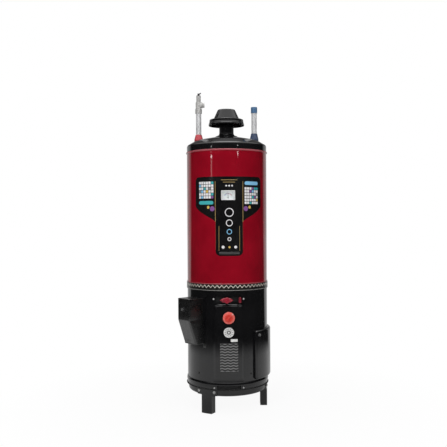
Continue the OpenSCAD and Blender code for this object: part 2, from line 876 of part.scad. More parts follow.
// Needle on the pivot pin
module thermometer_needle() {
  back = gauge_face - gauge_depth + 1.5 + dial_t + slip;
  color([0.1, 0.1, 0.1]) difference() {
    union() {
      front_bar(0, needle_z, needle_hub_r, back, back + needle_t);
      translate([0, -back, needle_z]) rotate([90, 0, 0]) linear_extrude(height = needle_t)
        polygon([[-1.2, 0], [1.2, 0], [0.3, needle_len], [-0.3, needle_len]]);
    }
    front_bar(0, needle_z, needle_pin_r + run, back - 1, back + needle_t + 1);
  }
}

// Clear lens held in the frame
module thermometer_lens() {
  w = gauge_w - 3 * gauge_frame + 4 - 4 * slip;
  h = gauge_h - 3 * gauge_frame + 4 - 4 * slip;
  color([0.8, 0.9, 0.95, 0.4]) gauge_box(w, h, gauge_face - 1.5 - lens_t, gauge_face - 1.5);
}

// Outer profile of the top cover, from its skirt to the flue hole
cover_profile = concat([[jacket_r, z_top]],
  bow([jacket_r, z_shoulder], [jacket_r - shoulder_run, z_shoulder + shoulder_rise], 1.3, 6),
  [[crown_d / 2, z_crown], [flue_r + 0.5, z_crown]]);

// Height of the top cover's cone at a distance from the axis
function cover_z(r) =
  z_crown - crown_rise * (r - crown_d / 2) / (jacket_r - shoulder_run - crown_d / 2);

// Conical top cover with holes for the flue and the two pipes
module top_cover() {
  color(black_paint) difference() {
    skin(cover_profile, sheet);
    for (s = [-1, 1]) translate([s * pipe_span / 2, 0, z_top])
      cylinder(r = pipe_r + 1, h = z_crown - z_top);
  }
}

// Flared flue neck standing on the crown
module flue_neck() {
  flare = 16;
  foot_r = neck_r + flare;
  z_flare = z_crown + 5;
  color(black_paint) rotate_extrude() polygon(concat(
    [[neck_r - sheet, z_crown], [crown_d / 2, z_crown], [crown_d / 2, z_crown + sheet]],
    arc([foot_r, z_flare + flare], flare, 270, 180, 8),
    [[neck_r, z_crown + neck_h], [neck_r - sheet, z_crown + neck_h]]));
}

// Hat-shaped draft hood with a bore for the flue pipe
module draft_hood() {
  z_flat = z_lip + hood_shoulder_h;
  z_end = z_lip + hood_h;
  lip_r = hood_lip_d / 2;
  top_r = hood_top_d / 2;
  profile = concat([[lip_r, z_lip]],
    bow([lip_r, z_lip + 5], [hood_shoulder_d / 2, z_flat], 4, 5),
    bow([hood_base_d / 2, z_flat], [top_r + 2, z_end - 4], 1.5, 4),
    [[top_r, z_end], [throat_d / 2, z_end]]);
  color(black_paint) {
    skin(profile, sheet);
    tube(throat_d / 2 + sheet, throat_d / 2, z_end - 20, z_end);
  }
}

// Three straps that carry the hood on the neck
module hood_straps() {
  t = 2;
  w = 14;
  z_arm = z_crown + neck_h - 5;
  z_under = z_lip + hood_shoulder_h - sheet;
  riser = hood_base_d / 2 + 6;
  color(black_paint) for (k = [0:2]) rotate([0, 0, 60 + 120 * k]) difference() {
    side_slab([[neck_r - 2, z_arm - 18], [neck_r + slip + t, z_arm - 18],
      [neck_r + slip + t, z_arm], [riser, z_arm], [riser, z_under], [riser - 8, z_under],
      [riser - 8, z_under - t], [riser - t, z_under - t], [riser - t, z_arm + t],
      [neck_r - 2, z_arm + t]], w);
    cylinder(r = neck_r + slip, h = 2 * z_crown);
  }
}

// Water pipe with a nut that seats on the tank's head
module water_pipe(x, z_end) {
  color(bare_steel) translate([x, 0, 0]) difference() {
    union() {
      translate([0, 0, z_head - pipe_inside]) cylinder(r = pipe_r, h = z_end - z_head + pipe_inside);
      translate([0, 0, z_head]) cylinder(r = nut_r, h = nut_h, $fn = 6);
    }
    translate([0, 0, z_head - pipe_inside - 1])
      cylinder(d = pipe_bore, h = z_end - z_head + pipe_inside + 2);
  }
}

// Plastic collar round a pipe, shaped to the top cover
module collar(x, h) {
  below = concat([for (p = cover_profile) p + [0, slip]], [[0, z_crown + slip], [0, z_top]]);
  z_foot = cover_z(pipe_span / 2 + collar_r) - collar_sink;
  z_cone = cover_z(pipe_span / 2 - collar_r) + collar_edge;
  difference() {
    translate([x, 0, 0]) {
      translate([0, 0, z_foot]) cylinder(r = collar_r, h = z_cone - z_foot);
      translate([0, 0, z_cone]) cylinder(r1 = collar_r, r2 = pipe_r + 2, h = h);
    }
    rotate_extrude() polygon(below);
    translate([x, 0, z_top]) cylinder(r = pipe_r + slip, h = pipe_h);
  }
}

module hot_pipe() { water_pipe(-pipe_span / 2, z_hot); }
module cold_pipe() { water_pipe(pipe_span / 2, z_cold); }
module hot_collar() { color(red_plastic) collar(-pipe_span / 2, hot_collar_h); }
module cold_collar() { color(blue_plastic) collar(pipe_span / 2, cold_collar_h); }

// Relief valve on the hot pipe: socket, body, barrel, side outlet and two ears
module relief_valve() {
  z_top_face = z_hot + valve_barrel_h;
  color(bare_steel) translate([-pipe_span / 2, 0, 0]) difference() {
    union() {
      translate([0, 0, z_hot - valve_socket]) cylinder(r = pipe_r + 3.5, h = 22, $fn = 6);
      translate([0, 0, z_hot]) cylinder(r = valve_r, h = valve_low_h);
      translate([0, 0, z_hot + valve_low_h - 1])
        cylinder(r = valve_barrel_r, h = valve_barrel_h - valve_low_h + 1);
      translate([0, 0, outlet_z]) rotate([0, 90, 0]) {
        cylinder(r = outlet_r + 3, h = outlet_reach - 10);
        cylinder(r = outlet_r, h = outlet_reach);
      }
      for (s = [-1, 1])
        translate([-5, s * (ear_gap + ear_t) / 2 - ear_t / 2, z_top_face - 1])
          cube([10, ear_t, ear_h + 1]);
    }
    translate([0, 0, z_hot - valve_socket - 1]) cylinder(r = pipe_r + slip, h = valve_socket + 1);
    translate([0, 0, z_hot - 2]) cylinder(r = valve_bore_r, h = 44);
    translate([0, 0, outlet_z]) rotate([0, 90, 0])
      cylinder(r = outlet_r - 3, h = outlet_reach + 1);
    translate([0, -20, z_top_face + ear_h / 2]) rotate([-90, 0, 0])
      cylinder(r = lever_pin_r + run, h = 40);
  }
}

// Pin through the valve's ears
module relief_pin() {
  len = ear_gap + 2 * ear_t + 2;
  color(bare_steel) translate([-pipe_span / 2, -len / 2, z_hot + valve_barrel_h + ear_h / 2])
    rotate([-90, 0, 0]) cylinder(r = lever_pin_r, h = len);
}

// Black test lever of the relief valve
module relief_lever() {
  w = ear_gap - 4 * slip;
  color(black_paint)
    translate([-pipe_span / 2, 0, z_hot + valve_barrel_h + ear_h / 2]) rotate([0, -lever_tilt, 0])
      difference() {
        union() {
          translate([0, -w / 2, 0]) rotate([-90, 0, 0]) cylinder(r = 4, h = w);
          translate([0, -w / 2, -2.5]) cube([lever_tip, w, 5]);
        }
        translate([0, -w, 0]) rotate([-90, 0, 0]) cylinder(r = lever_pin_r + run, h = 2 * w);
      }
}

// Push-on cap over the cold pipe's end
module inlet_cap() {
  r = pipe_r + slip + cap_wall;
  top = slip + cap_top;
  color(blue_plastic) translate([pipe_span / 2, 0, z_cold]) rotate_extrude()
    polygon(concat([[pipe_r + slip, top - cap_h], [r, top - cap_h]], arc([r - 2, top - 2], 2, 0, 90, 5),
      [[0, top], [0, slip], [pipe_r + slip, slip]]));
}

module tank_shell() {
  color(bare_steel) tube(tank_r, tank_r - tank_wall, z_tank + tank_wall, z_head - head_knuckle);
}

// Dished bottom and knuckled top of the tank
module tank_heads() {
  hole = flue_r + slip;
  flat_r = fire_r - 8;
  center = [tank_r - head_knuckle, z_head - head_knuckle];
  color(bare_steel) difference() {
    union() {
      rotate_extrude() polygon([[tank_r, z_tank], [tank_r, z_tank + tank_wall],
        [flat_r, z_tank + tank_wall], [hole, z_tank + dish_h + tank_wall],
        [hole, z_tank + dish_h], [flat_r - 1, z_tank]]);
      rotate_extrude() polygon(concat(arc(center, head_knuckle, 0, 90, 8), [[hole, z_head]],
        [[hole, z_head - tank_wall]], arc(center, head_knuckle - tank_wall, 90, 0, 8)));
    }
    for (s = [-1, 1]) translate([s * pipe_span / 2, 0, z_head - 10])
      cylinder(r = pipe_r + slip, h = 20);
    translate([0, anode_y, z_head - 10]) cylinder(r = anode_plug_r + slip, h = 20);
    translate([probe_x, -control_mid, z_tank - 5]) cylinder(r = probe_r + slip, h = 20);
  }
}

module flue_tube() {
  color(bare_steel) tube(flue_r, flue_r - flue_wall, z_tank + dish_h - 6, z_crown - 0.1);
}

// Half-moon plates on a rod that slow the flue gas
module flue_baffle() {
  r = flue_r - flue_wall - slip;
  z0 = z_tank + dish_h + 30;
  pitch = (z_head - 40 - z0) / (baffle_count - 1);
  color(bare_steel) {
    translate([0, 0, z0 - 10]) cylinder(r = 3, h = z_head - z0 - 20);
    for (k = [0:baffle_count - 1])
      translate([0, 0, z0 + k * pitch]) rotate([0, 0, 180 * k]) intersection() {
        cylinder(r = r, h = 2);
        translate([-6, -2 * r, -1]) cube([3 * r, 4 * r, 4]);
      }
  }
}

// Foam round the tank, cut out for the thermometer
module insulation() {
  color([0.85, 0.78, 0.5]) difference() {
    tube(jacket_r - sheet - insulation_gap, tank_r + insulation_gap, z_up, z_top - insulation_drop);
    gauge_box(gauge_w, gauge_h, jacket_r - 30, jacket_r + 10);
    front_bar(0, z_gauge, stem_r + 1, tank_r - 5, jacket_r);
  }
}

// Plastic tube that takes cold water to the tank's bottom
module dip_tube() {
  color([0.9, 0.9, 0.86]) translate([pipe_span / 2, 0, 0])
    tube(dip_r, dip_r - 1.5, z_tank + 90, z_head + 5);
}

// Sacrificial anode under its plug
module anode_rod() {
  color([0.7, 0.7, 0.7]) translate([0, anode_y, 0]) {
    translate([0, 0, z_tank + 140]) cylinder(r = anode_r, h = z_head - z_tank - 140);
    translate([0, 0, z_head - 12]) cylinder(r = anode_plug_r, h = 13);
    translate([0, 0, z_head]) cylinder(r = anode_plug_r + 5, h = 9, $fn = 6);
  }
}

// Combustion chamber under the tank, with its hatch, mixing-tube hole and air holes
module firebox() {
  color([0.45, 0.45, 0.46]) difference() {
    tube(fire_r, fire_r - fire_wall, z_pan + pan_t, z_tank);
    translate([fire_r / 2, hatch_y[0], hatch_z[0]])
      cube([fire_r, hatch_y[1] - hatch_y[0], hatch_z[1] - hatch_z[0]]);
    front_bar(0, z_mix, mix_r + slip, fire_r / 2, fire_r + 5);
    translate([spark_at.x - 7, -fire_r - 5, z_tubes - 7])
      cube([couple_at.x - spark_at.x + 14, fire_r / 2, 14]);
    for (k = [0:7]) radial_bar(22.5 + 45 * k, z_pan + pan_t + 25, 12, fire_r - 20, fire_r + 5);
  }
}

// Hollow round burner with ports in its top
module burner_head() {
  wall = 4;
  color([0.25, 0.25, 0.26]) difference() {
    translate([0, 0, z_burner]) cylinder(r = burner_r, h = burner_h);
    translate([0, 0, z_burner + wall]) cylinder(r = burner_r - wall, h = burner_h - 2 * wall);
    front_bar(0, z_mix, mix_r + slip, burner_r / 2, burner_r + 5);
    for (k = [0:port_count - 1]) rotate([0, 0, 360 * k / port_count])
      translate([burner_r - 14, 0, z_burner + burner_h - wall - 1]) cylinder(r = 2, h = wall + 2);
  }
}

// Mixing tube with a bell mouth
module burner_tube() {
  bell = mix_r + 7;
  color([0.4, 0.4, 0.41]) translate([0, -burner_r + 3, z_mix]) rotate([90, 0, 0]) rotate_extrude()
    polygon([[mix_r - mix_wall, 0], [mix_r, 0], [mix_r, mix_end - burner_r - 15],
      [bell, mix_end - burner_r], [bell - mix_wall, mix_end - burner_r],
      [mix_r - mix_wall, mix_end - burner_r - 15]]);
}

// Three posts that carry the burner head on the pan
module burner_stand() {
  color([0.4, 0.4, 0.41]) for (k = [0:2]) rotate([0, 0, 60 + 120 * k])
    translate([0, -post_ring, z_pan + pan_t]) cylinder(r = post_r, h = burner_lift - pan_t);
}

// Gas supply from the control down to the jet in the bell mouth
module burner_pipe() {
  color(brass) {
    tube_run([[0, supply_y, z_control], [0, supply_y, z_mix], [0, supply_y + 8, z_mix]], supply_r);
    front_bar(0, z_mix, jet_r, -supply_y - 18, -supply_y - 6);
  }
}

// Pilot burner on a bracket beside the burner head
module pilot_burner() {
  color(brass) difference() {
    union() {
      translate([pilot_at.x, pilot_at.y, z_bracket]) cylinder(r = 5, h = burner_h + 8);
      translate([spark_at.x - 8, spark_at.y - 8, z_bracket])
        cube([couple_at.x - spark_at.x + 14, 30, bracket_t]);
    }
    translate([0, 0, z_burner - 5]) cylinder(r = burner_r + slip, h = burner_h + 10);
    translate([couple_at.x, couple_at.y, z_burner - 5]) cylinder(r = 2.5 + slip, h = 20);
    translate([spark_at.x, spark_at.y, z_burner - 5]) cylinder(r = 3.5 + slip, h = 20);
  }
}

// Thermocouple and its lead from the gas control
module thermocouple() {
  color([0.72, 0.45, 0.25]) tube_run([[couple_at.x, tube_y, z_control], [couple_at.x, tube_y, z_tubes],
    [couple_at.x, couple_at.y, z_tubes], [couple_at.x, couple_at.y, z_burner + burner_h + 14]], 2.5);
}

// Ceramic spark electrode with a bare tip
module spark_electrode() {
  color([0.92, 0.9, 0.86]) translate([spark_at.x, spark_at.y, z_burner - 4]) {
    cylinder(r = 3.5, h = burner_h + 8);
    cylinder(r = 1, h = burner_h + 18);
  }
}

// High-voltage lead from the igniter to the electrode
module ignition_lead() {
  back = box_r - igniter_len - slip - lead_r;
  inner = -back + 12;
  in_box = [[0, -back, z_button], [lead_side, inner, z_button - 30],
    [lead_side, inner, z_lead], [lead_side, -jacket_r + 35, z_lead]];
  color([0.15, 0.15, 0.16]) tube_run(concat([for (p = in_box) turned(p, box_turn)],
    [[spark_at.x, tube_y, z_lead], [spark_at.x, tube_y, z_tubes],
     [spark_at.x, spark_at.y, z_tubes], [spark_at.x, spark_at.y, z_burner - 4 - slip]]), lead_r);
}

// Gas tube to the pilot
module pilot_tube() {
  color([0.75, 0.76, 0.78]) tube_run([[pilot_at.x, tube_y, z_control], [pilot_at.x, tube_y, z_tubes],
    [pilot_at.x, pilot_at.y, z_tubes], [pilot_at.x, pilot_at.y, z_bracket]], 3);
}

// Cast gas control hung under the tank by its probe boss
module gas_control() {
  z_body = z_tank - boss_h;
  bore_end = control_front - spindle_depth;
  color([0.6, 0.6, 0.62]) difference() {
    union() {
      translate([-control_w / 2, -control_front, z_control])
        cube([control_w, control_depth, z_body - z_control]);
      translate([probe_x, -control_mid, z_body - 1]) cylinder(r = boss_r, h = boss_h + 1);
    }
    front_bar(0, z_knob, spindle_r + run, bore_end, control_front + 5);
    front_bar(lever_x, z_lever, spindle_r + run, bore_end, control_front + 5);
    front_bar(pilot_x, z_lever, spindle_r / 2 + run, bore_end, control_front + 5);
    translate([probe_x, -control_mid, z_tank - 20]) cylinder(r = probe_r + slip, h = 30);
  }
}

// Thermostat probe from the control up into the tank
module thermostat_probe() {
  color(brass) translate([probe_x, -control_mid, z_tank - 20]) cylinder(r = probe_r, h = probe_len + 20);
}

// Gas pipe from the control to the elbow in the ignition box
module gas_inlet_pipe() {
  color(brass) {
    translate([inlet_x, inlet_y, z_inlet]) rotate([0, 90, 0])
      cylinder(r = inlet_r, h = -control_w / 2 - inlet_x);
    difference() {
      translate([inlet_x, inlet_y, z_inlet]) sphere(r = elbow_r);
      translate([inlet_x, inlet_y, z_inlet - elbow_flat - elbow_r]) cylinder(r = elbow_r, h = elbow_r);
    }
  }
}

// Gas nipple pointing down, with a hex above its thread
module gas_nipple() {
  z_end = z_inlet - nipple_len;
  z_seat_nipple = z_inlet - elbow_flat;
  color(brass) translate([inlet_x, inlet_y, 0]) difference() {
    union() {
      translate([0, 0, z_end]) cylinder(d = nipple_d, h = z_seat_nipple - z_end);
      translate([0, 0, z_end + nipple_thread]) cylinder(r = nipple_d / 2 + 3, h = 10, $fn = 6);
    }
    translate([0, 0, z_end - 1]) cylinder(d = nipple_d - 6, h = nipple_len / 2);
  }
}

leg_front();
leg_right();
leg_rear();
leg_bolts();
base_pan();
base_ring();
case_screws();
lower_jacket();
front_panel();
control_knob();
knob_spindle();
gas_lever();
pilot_button();
ignition_box();
piezo_igniter();
igniter_button();
burner_door();
hinge_leaf();
hinge_pin();
door_latch();
deco_band();
upper_jacket();
thermometer_case();
thermometer_dial();
thermometer_needle();
thermometer_lens();
top_cover();
flue_neck();
draft_hood();
hood_straps();
hot_pipe();
hot_collar();
relief_valve();
relief_pin();
relief_lever();
cold_pipe();
cold_collar();
inlet_cap();
tank_shell();
tank_heads();
flue_tube();
flue_baffle();
insulation();
dip_tube();
anode_rod();
firebox();
burner_head();
burner_tube();
burner_stand();
burner_pipe();
pilot_burner();
thermocouple();
spark_electrode();
ignition_lead();
pilot_tube();
gas_control();
thermostat_probe();
gas_inlet_pipe();
gas_nipple();
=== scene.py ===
"""Looks of a floor-standing gas storage water heater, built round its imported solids.

Metres, +Z up, front towards -Y. An angle is counted from the front, turning towards +X.
"""
import json
from functools import partialmethod
from math import acos, asin, atan2, cos, hypot, pi, radians, sin, tan

import bmesh
import bpy
import numpy as np
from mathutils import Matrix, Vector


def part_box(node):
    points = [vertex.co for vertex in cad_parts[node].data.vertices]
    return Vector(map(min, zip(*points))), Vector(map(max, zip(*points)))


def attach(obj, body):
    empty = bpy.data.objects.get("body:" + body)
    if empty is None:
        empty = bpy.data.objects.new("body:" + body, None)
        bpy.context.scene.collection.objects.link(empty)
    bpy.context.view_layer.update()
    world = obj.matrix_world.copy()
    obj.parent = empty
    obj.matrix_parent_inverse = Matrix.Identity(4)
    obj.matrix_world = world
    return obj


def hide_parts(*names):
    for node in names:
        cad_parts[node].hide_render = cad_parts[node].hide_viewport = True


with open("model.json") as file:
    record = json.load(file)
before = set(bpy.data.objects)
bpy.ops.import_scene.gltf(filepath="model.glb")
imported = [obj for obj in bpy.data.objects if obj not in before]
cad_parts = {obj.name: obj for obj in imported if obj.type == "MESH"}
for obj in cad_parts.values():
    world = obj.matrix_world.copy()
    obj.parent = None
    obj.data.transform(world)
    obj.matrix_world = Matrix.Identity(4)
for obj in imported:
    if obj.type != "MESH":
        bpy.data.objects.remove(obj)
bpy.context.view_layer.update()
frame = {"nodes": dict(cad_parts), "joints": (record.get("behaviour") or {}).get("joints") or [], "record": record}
nodes = frame["nodes"]
SLOT_OF = {part["node"]: part["material_slot"] for part in frame["record"]["subparts"]}
BODY_OF = {member: body for body, members in frame["record"]["behaviour"]["bodies"].items()
           for member in members}


def box_of(node):
    """Low and high corner of a solid's box, its middle and its half sizes."""
    low, high = np.array(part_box(node)[0]), np.array(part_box(node)[1])
    return low, high, (low + high) / 2, (high - low) / 2


def heights(node):
    """Lower and upper end of a solid."""
    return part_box(node)[0][2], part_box(node)[1][2]


def add_object(name, data):
    """New object in the scene."""
    made = bpy.data.objects.new(name, data)
    bpy.context.collection.objects.link(made)
    return made


MM = 0.001


def mm(*values):
    """Millimetres as metres."""
    return [value * MM for value in values]


# Sizes read from the solids, and the sheet's thickness where an open edge shows it
JACKET_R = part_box("lower_jacket")[1][0]
Z_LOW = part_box("lower_jacket")[0][2]
Z_UP, Z_TOP = heights("upper_jacket")
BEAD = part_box("upper_jacket")[1][0] - JACKET_R
GAUGE_LOW, _, (_, _, Z_GAUGE), (GAUGE_HALF_W, _, GAUGE_HALF_H) = box_of("thermometer_case")
VALVE_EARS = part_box("relief_valve")[1][2] - 12 * MM
SHEET = 1.2 * MM

# Camera, as read from the photograph
IMAGE_SIDE = 447
FOCAL_PX = 661.4
HORIZON_PX = 220.4
AXIS_PX = 226.9
SENSOR_MM = 36
CAMERA_DISTANCE = 3.343
CAMERA_HEIGHT = 0.927
CAMERA_TURN = radians(-1.8)
CAMERA_PITCH = radians(0.33)
CAMERA_ROLL = radians(0.3)


def place_camera():
    """Camera on a circle round the tank's axis; its shift sets the horizon."""
    data = bpy.data.cameras.new("view")
    data.sensor_width = SENSOR_MM
    data.lens = SENSOR_MM * FOCAL_PX / IMAGE_SIDE
    centre = IMAGE_SIDE / 2
    data.shift_x = (centre - AXIS_PX) / IMAGE_SIDE
    data.shift_y = (HORIZON_PX + FOCAL_PX * tan(CAMERA_PITCH) - centre) / IMAGE_SIDE
    camera = add_object("view", data)
    camera.rotation_mode = "XYZ"
    camera.location = (CAMERA_DISTANCE * sin(CAMERA_TURN),
                       -CAMERA_DISTANCE * cos(CAMERA_TURN), CAMERA_HEIGHT)
    camera.rotation_euler = (pi / 2 - CAMERA_PITCH, CAMERA_ROLL, CAMERA_TURN)
    bpy.context.scene.camera = camera


# Shapes
FORWARD = {"axis": (0, -1, 0), "first": (1, 0, 0)}
MERGE_DISTANCE = 2e-6
LEAST_EDGE = 1e-7
SHARP_ANGLE = radians(38)


def points(*parts):
    """Places from their parts, spread over one grid."""
    return np.stack(np.broadcast_arrays(*parts), axis=-1)


def polar(angle, radius, z):
    """Points at an angle from the front, a distance from the tank's axis and a height."""
    return points(radius * np.sin(angle), -radius * np.cos(angle), z)


def arc(x, z, radius, turn):
    """Flat places on a circle about a centre."""
    return points(x + radius * np.cos(turn), z + radius * np.sin(turn))


def wrapped(flat, radius, middle, z):
    """Flat places bent round the tank about a middle angle and height."""
    return polar(middle + flat[..., 0] / JACKET_R, radius, z + flat[..., 1])


def tilted(plate, centre, angle=0.0):
    """Flat places and lifts of a plate, turned about a centre on a front face."""
    flat, lift = plate
    x = flat[..., 0] * cos(angle) - flat[..., 1] * sin(angle)
    z = flat[..., 0] * sin(angle) + flat[..., 1] * cos(angle)
    return points(centre[0] + x, centre[1] - lift, centre[2] + z)


def rounded(line, radius, steps=5):
    """Polyline with its inner corners rounded, by one radius or one each."""
    line = [np.array(place, float) for place in line]
    radii = np.broadcast_to(radius, len(line) - 2)
    out = [line[0]]
    for before, corner, after, r in zip(line, line[1:], line[2:], radii):
        a = (before - corner) / np.linalg.norm(before - corner)
        b = (after - corner) / np.linalg.norm(after - corner)
        half = acos(np.clip(a @ b, -1, 1)) / 2
        if half > pi / 2 - 0.01:
            out.append(corner)
            continue
        reach = r / tan(half)
        centre = corner + (a + b) / np.linalg.norm(a + b) * r / sin(half)
        p, q = corner + a * reach - centre, corner + b * reach - centre
        chord = np.linspace(p, q, steps + 1)
        out.extend(centre + chord / np.linalg.norm(chord, axis=1)[:, None] * r)
    out.append(line[-1])
    return np.array(out)


def turned(profile, steps, centre=(0, 0, 0), axis=(0, 0, 1), first=(0, -1, 0)):
    """Surface of revolution: a profile of (radius, height) goes round an axis."""
    axis, first = np.array(axis, float), np.array(first, float)
    angle = np.linspace(0, 2 * pi, steps + 1)[None, :, None]
    profile = np.asarray(profile, float)
    ring = np.cos(angle) * first + np.sin(angle) * np.cross(axis, first)
    return np.array(centre) + profile[:, 0, None, None] * ring + profile[:, 1, None, None] * axis


def oblong(half_w, half_h, corners, steps, edge_steps):
    """Closed outline of a rectangle with a radius for each corner."""
    arcs = []
    for k, ((sx, sz), r) in enumerate(zip([(-1, -1), (1, -1), (1, 1), (-1, 1)], corners)):
        turn = np.linspace(pi + k * pi / 2, 1.5 * pi + k * pi / 2, steps + 1)
        arcs.append(arc(sx * (half_w - r), sz * (half_h - r), r, turn))
    outline = []
    for bend, following in zip(arcs, arcs[1:] + arcs[:1]):
        outline += [bend, np.linspace(bend[-1], following[0], edge_steps + 1)[1:-1]]
    return np.concatenate(outline + [arcs[0][:1]])


def pressed(half_w, half_h, corners, path, steps, edge_steps):
    """Rings of a pressed plate: for each (inset, lift) of the path, the outline drawn in by the inset.

    Corners are one radius or one each. Returns flat places (rows, columns, 2) and the lift of each row.
    """
    rings, corners = [], np.broadcast_to(corners, 4)
    for inset, _ in path:
        w, h = max(half_w - inset, 0), max(half_h - inset, 0)
        rings.append(oblong(w, h, [min(max(c - inset, 0), w, h) for c in corners], steps, edge_steps))
    return np.array(rings), np.array([lift for _, lift in path])[:, None]


def even_face(half_w, half_h, edge_steps):
    """Even grid of flat places that fills a square-cornered ring."""
    t = np.linspace(-1, 1, edge_steps + 1)
    return points(half_w * t[None, :], half_h * t[:, None])


def stops(start, *legs):
    """Places from a start on to the end of each (end, count) in even steps."""
    parts = [[start]]
    for end, count in legs:
        parts.append(np.linspace(parts[-1][-1], end, count + 1)[1:])
    return np.concatenate(parts)


def between(edges, low, high):
    """Which cells lie between two values."""
    middle = (edges[:-1] + edges[1:]) / 2
    return (middle > low) & (middle < high)


def quarter(lift, radius, steps=5):
    """Path of a rolled edge: a quarter circle, at first upright."""
    t = np.linspace(0, pi / 2, steps + 1)
    return [(radius * (1 - cos(a)), lift + radius * sin(a)) for a in t]


def piece(name, grids, material=None, node=None, replaces=(), keep=None, uv=None):
    """One object from grids of points (rows, columns, xyz): every cell of a grid is one quad.

    For a single grid, keep says which cells are made and uv is its own map. Points that coincide are
    merged, so seams and poles close. With no material given it has its slot's finish.
    """
    vertices, faces, start = [], [], 0
    for grid in grids:
        rows, cols = grid.shape[:2]
        corner = start + np.arange(rows * cols).reshape(rows, cols)
        quads = points(corner[:-1, :-1], corner[:-1, 1:], corner[1:, 1:], corner[1:, :-1])
        vertices.append(grid.reshape(-1, 3))
        faces.append((quads if keep is None else quads[keep]).reshape(-1, 4))
        start += rows * cols
    vertices, faces = np.concatenate(vertices), np.concatenate(faces)
    mesh = bpy.data.meshes.new(name)
    mesh.from_pydata(vertices.tolist(), [], faces.tolist())
    if uv is not None:
        layer = mesh.uv_layers.new(name="flat")
        layer.data.foreach_set("uv", uv.reshape(-1, 2)[faces.ravel()].ravel())
    shape = bmesh.new()
    shape.from_mesh(mesh)
    bmesh.ops.remove_doubles(shape, verts=shape.verts, dist=MERGE_DISTANCE)
    bmesh.ops.dissolve_degenerate(shape, edges=shape.edges, dist=LEAST_EDGE)
    loose = [v for v in shape.verts if not v.link_faces]
    bmesh.ops.delete(shape, geom=loose, context="VERTS")
    shape.to_mesh(mesh)
    shape.free()
    mesh.polygons.foreach_set("use_smooth", np.ones(len(mesh.polygons), bool))
    mesh.set_sharp_from_angle(angle=SHARP_ANGLE)
    made = add_object(name, mesh)
    like = node or replaces[0]
    mesh.materials.append(material or FINISHES[SLOT_OF[like]])
    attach(made, BODY_OF[like])
    if replaces:
        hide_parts(*replaces)


# Materials

class Nodes:
    """A node tree with short calls for its nodes."""

    def __init__(self, tree):
        self.tree = tree

    def node(self, kind, settings=None, **inputs):
        """New node with its properties and inputs, by name with _ for a space, or as i and a number."""
        made = self.tree.nodes.new("ShaderNode" + kind)
        for key, value in (settings or {}).items():
            setattr(made, key, value)
        for key, value in inputs.items():
            self.put(made.inputs[int(key[1:]) if key[1:].isdigit() else key.replace("_", " ")], value)
        return made

    def put(self, socket, value):
        """A socket takes a link from another socket, or a plain value; a colour gets an alpha of 1."""
        if isinstance(value, bpy.types.NodeSocket):
            self.tree.links.new(value, socket)
        else:
            socket.default_value = (*value, 1) if socket.type == "RGBA" else value

    def math(self, operation, a, b=0.0):
        """One math node."""
        return self.node("Math", {"operation": operation}, i0=a, i1=b).outputs[0]

    times = partialmethod(math, "MULTIPLY")
    minus = partialmethod(math, "SUBTRACT")
    most = partialmethod(math, "MAXIMUM")

    def ramp(self, value, low, high, out_low=0.0, out_high=1.0):
        """Straight ramp from one range to another, clamped."""
        return self.node("MapRange", i0=value, i1=low, i2=high, i3=out_low, i4=out_high).outputs[0]

    def fade(self, value, full, none):
        """1 up to one value, falling to 0 at another."""
        return self.ramp(value, full, none, 1.0, 0.0)

    def gap(self, a, b):
        """How far two values lie apart."""
        return self.math("ABSOLUTE", self.minus(a, b))

    def length(self, a, b):
        """Length of a flat vector."""
        return self.math("SQRT", self.math("ADD", self.times(a, a), self.times(b, b)))

    def split(self, vector):
        """The three parts of a vector."""
        return self.node("SeparateXYZ", Vector=vector).outputs

    def seen(self, path):
        """1 for rays that come from the camera, also through the lens."""
        return self.most(path["Is Camera Ray"], path["Is Transmission Ray"])


class Finish(Nodes):
    """A material's node tree with the patterns that the finishes share."""

    def __init__(self, name):
        self.material = bpy.data.materials.new(name)
        self.material.use_nodes = True
        super().__init__(self.material.node_tree)
        self.shader = self.tree.nodes["Principled BSDF"]
        self.place = self.node("TexCoord").outputs["Object"]

    def set(self, **inputs):
        """Sets or links the shader's own sockets."""
        for key, value in inputs.items():
            self.put(self.shader.inputs[key.replace("_", " ")], value)

    def flat(self):
        """Places on the piece's own map."""
        return self.split(self.node("UVMap", {"uv_map": "flat"}).outputs[0])

    def noise(self, scale, detail=2.0, rough=0.5, place=None):
        """Noise on the object's own coordinates."""
        return self.node("TexNoise", Vector=place or self.place, Scale=scale, Detail=detail,
                         Roughness=rough).outputs["Fac"]

    def blend(self, share, first, second):
        """Colour mix; share 0 gives the first colour."""
        return self.node("Mix", {"data_type": "RGBA"}, i0=share, i6=first, i7=second).outputs[2]

    def bump(self, height, strength, distance):
        """Bump from a height."""
        self.set(Normal=self.node("Bump", Height=height, Strength=strength,
                                  Distance=distance).outputs["Normal"])

    def cloudy(self, scale, detail, dark, light, span=(0.35, 0.65), rough=0.5):
        """Colour that drifts between two shades."""
        return self.blend(self.ramp(self.noise(scale, detail, rough), *span), dark, light)

    def gloss(self, scale, detail, limits, span=(0.3, 0.7), rough=0.5):
        """Roughness that drifts between two limits."""
        self.set(Roughness=self.ramp(self.noise(scale, detail, rough), *span, *limits))

    def grain(self, scale=420, detail=1, strength=0.04, distance=0.4 * MM):
        """Fine bumps."""
        self.bump(self.noise(scale, detail), strength, distance)


def grey(level):
    """Neutral colour of one level."""
    return (level,) * 3


def enamel(name, dark, light, rough, peel, coat=0.0, wear_and_sheen=None):
    """Stove enamel: slow colour drift, orange peel, smears in the gloss; beads may carry a paler painted
    highlight.
    """
    f = Finish(name)
    colour = f.cloudy(7, 3, dark, light)
    if wear_and_sheen:
        # Paler colour on the rolled beads is a painted highlight.
        x, y, _ = f.split(f.place)
        bead = f.ramp(f.length(x, y), JACKET_R + 0.3 * BEAD, JACKET_R + 0.8 * BEAD)
        colour = f.blend(bead, colour, wear_and_sheen)
    f.set(Base_Color=colour, Coat_Weight=coat, Coat_Roughness=0.04)
    f.gloss(28, 4, rough, (0.35, 0.7), 0.6)
    f.grain(strength=peel)
    return f.material


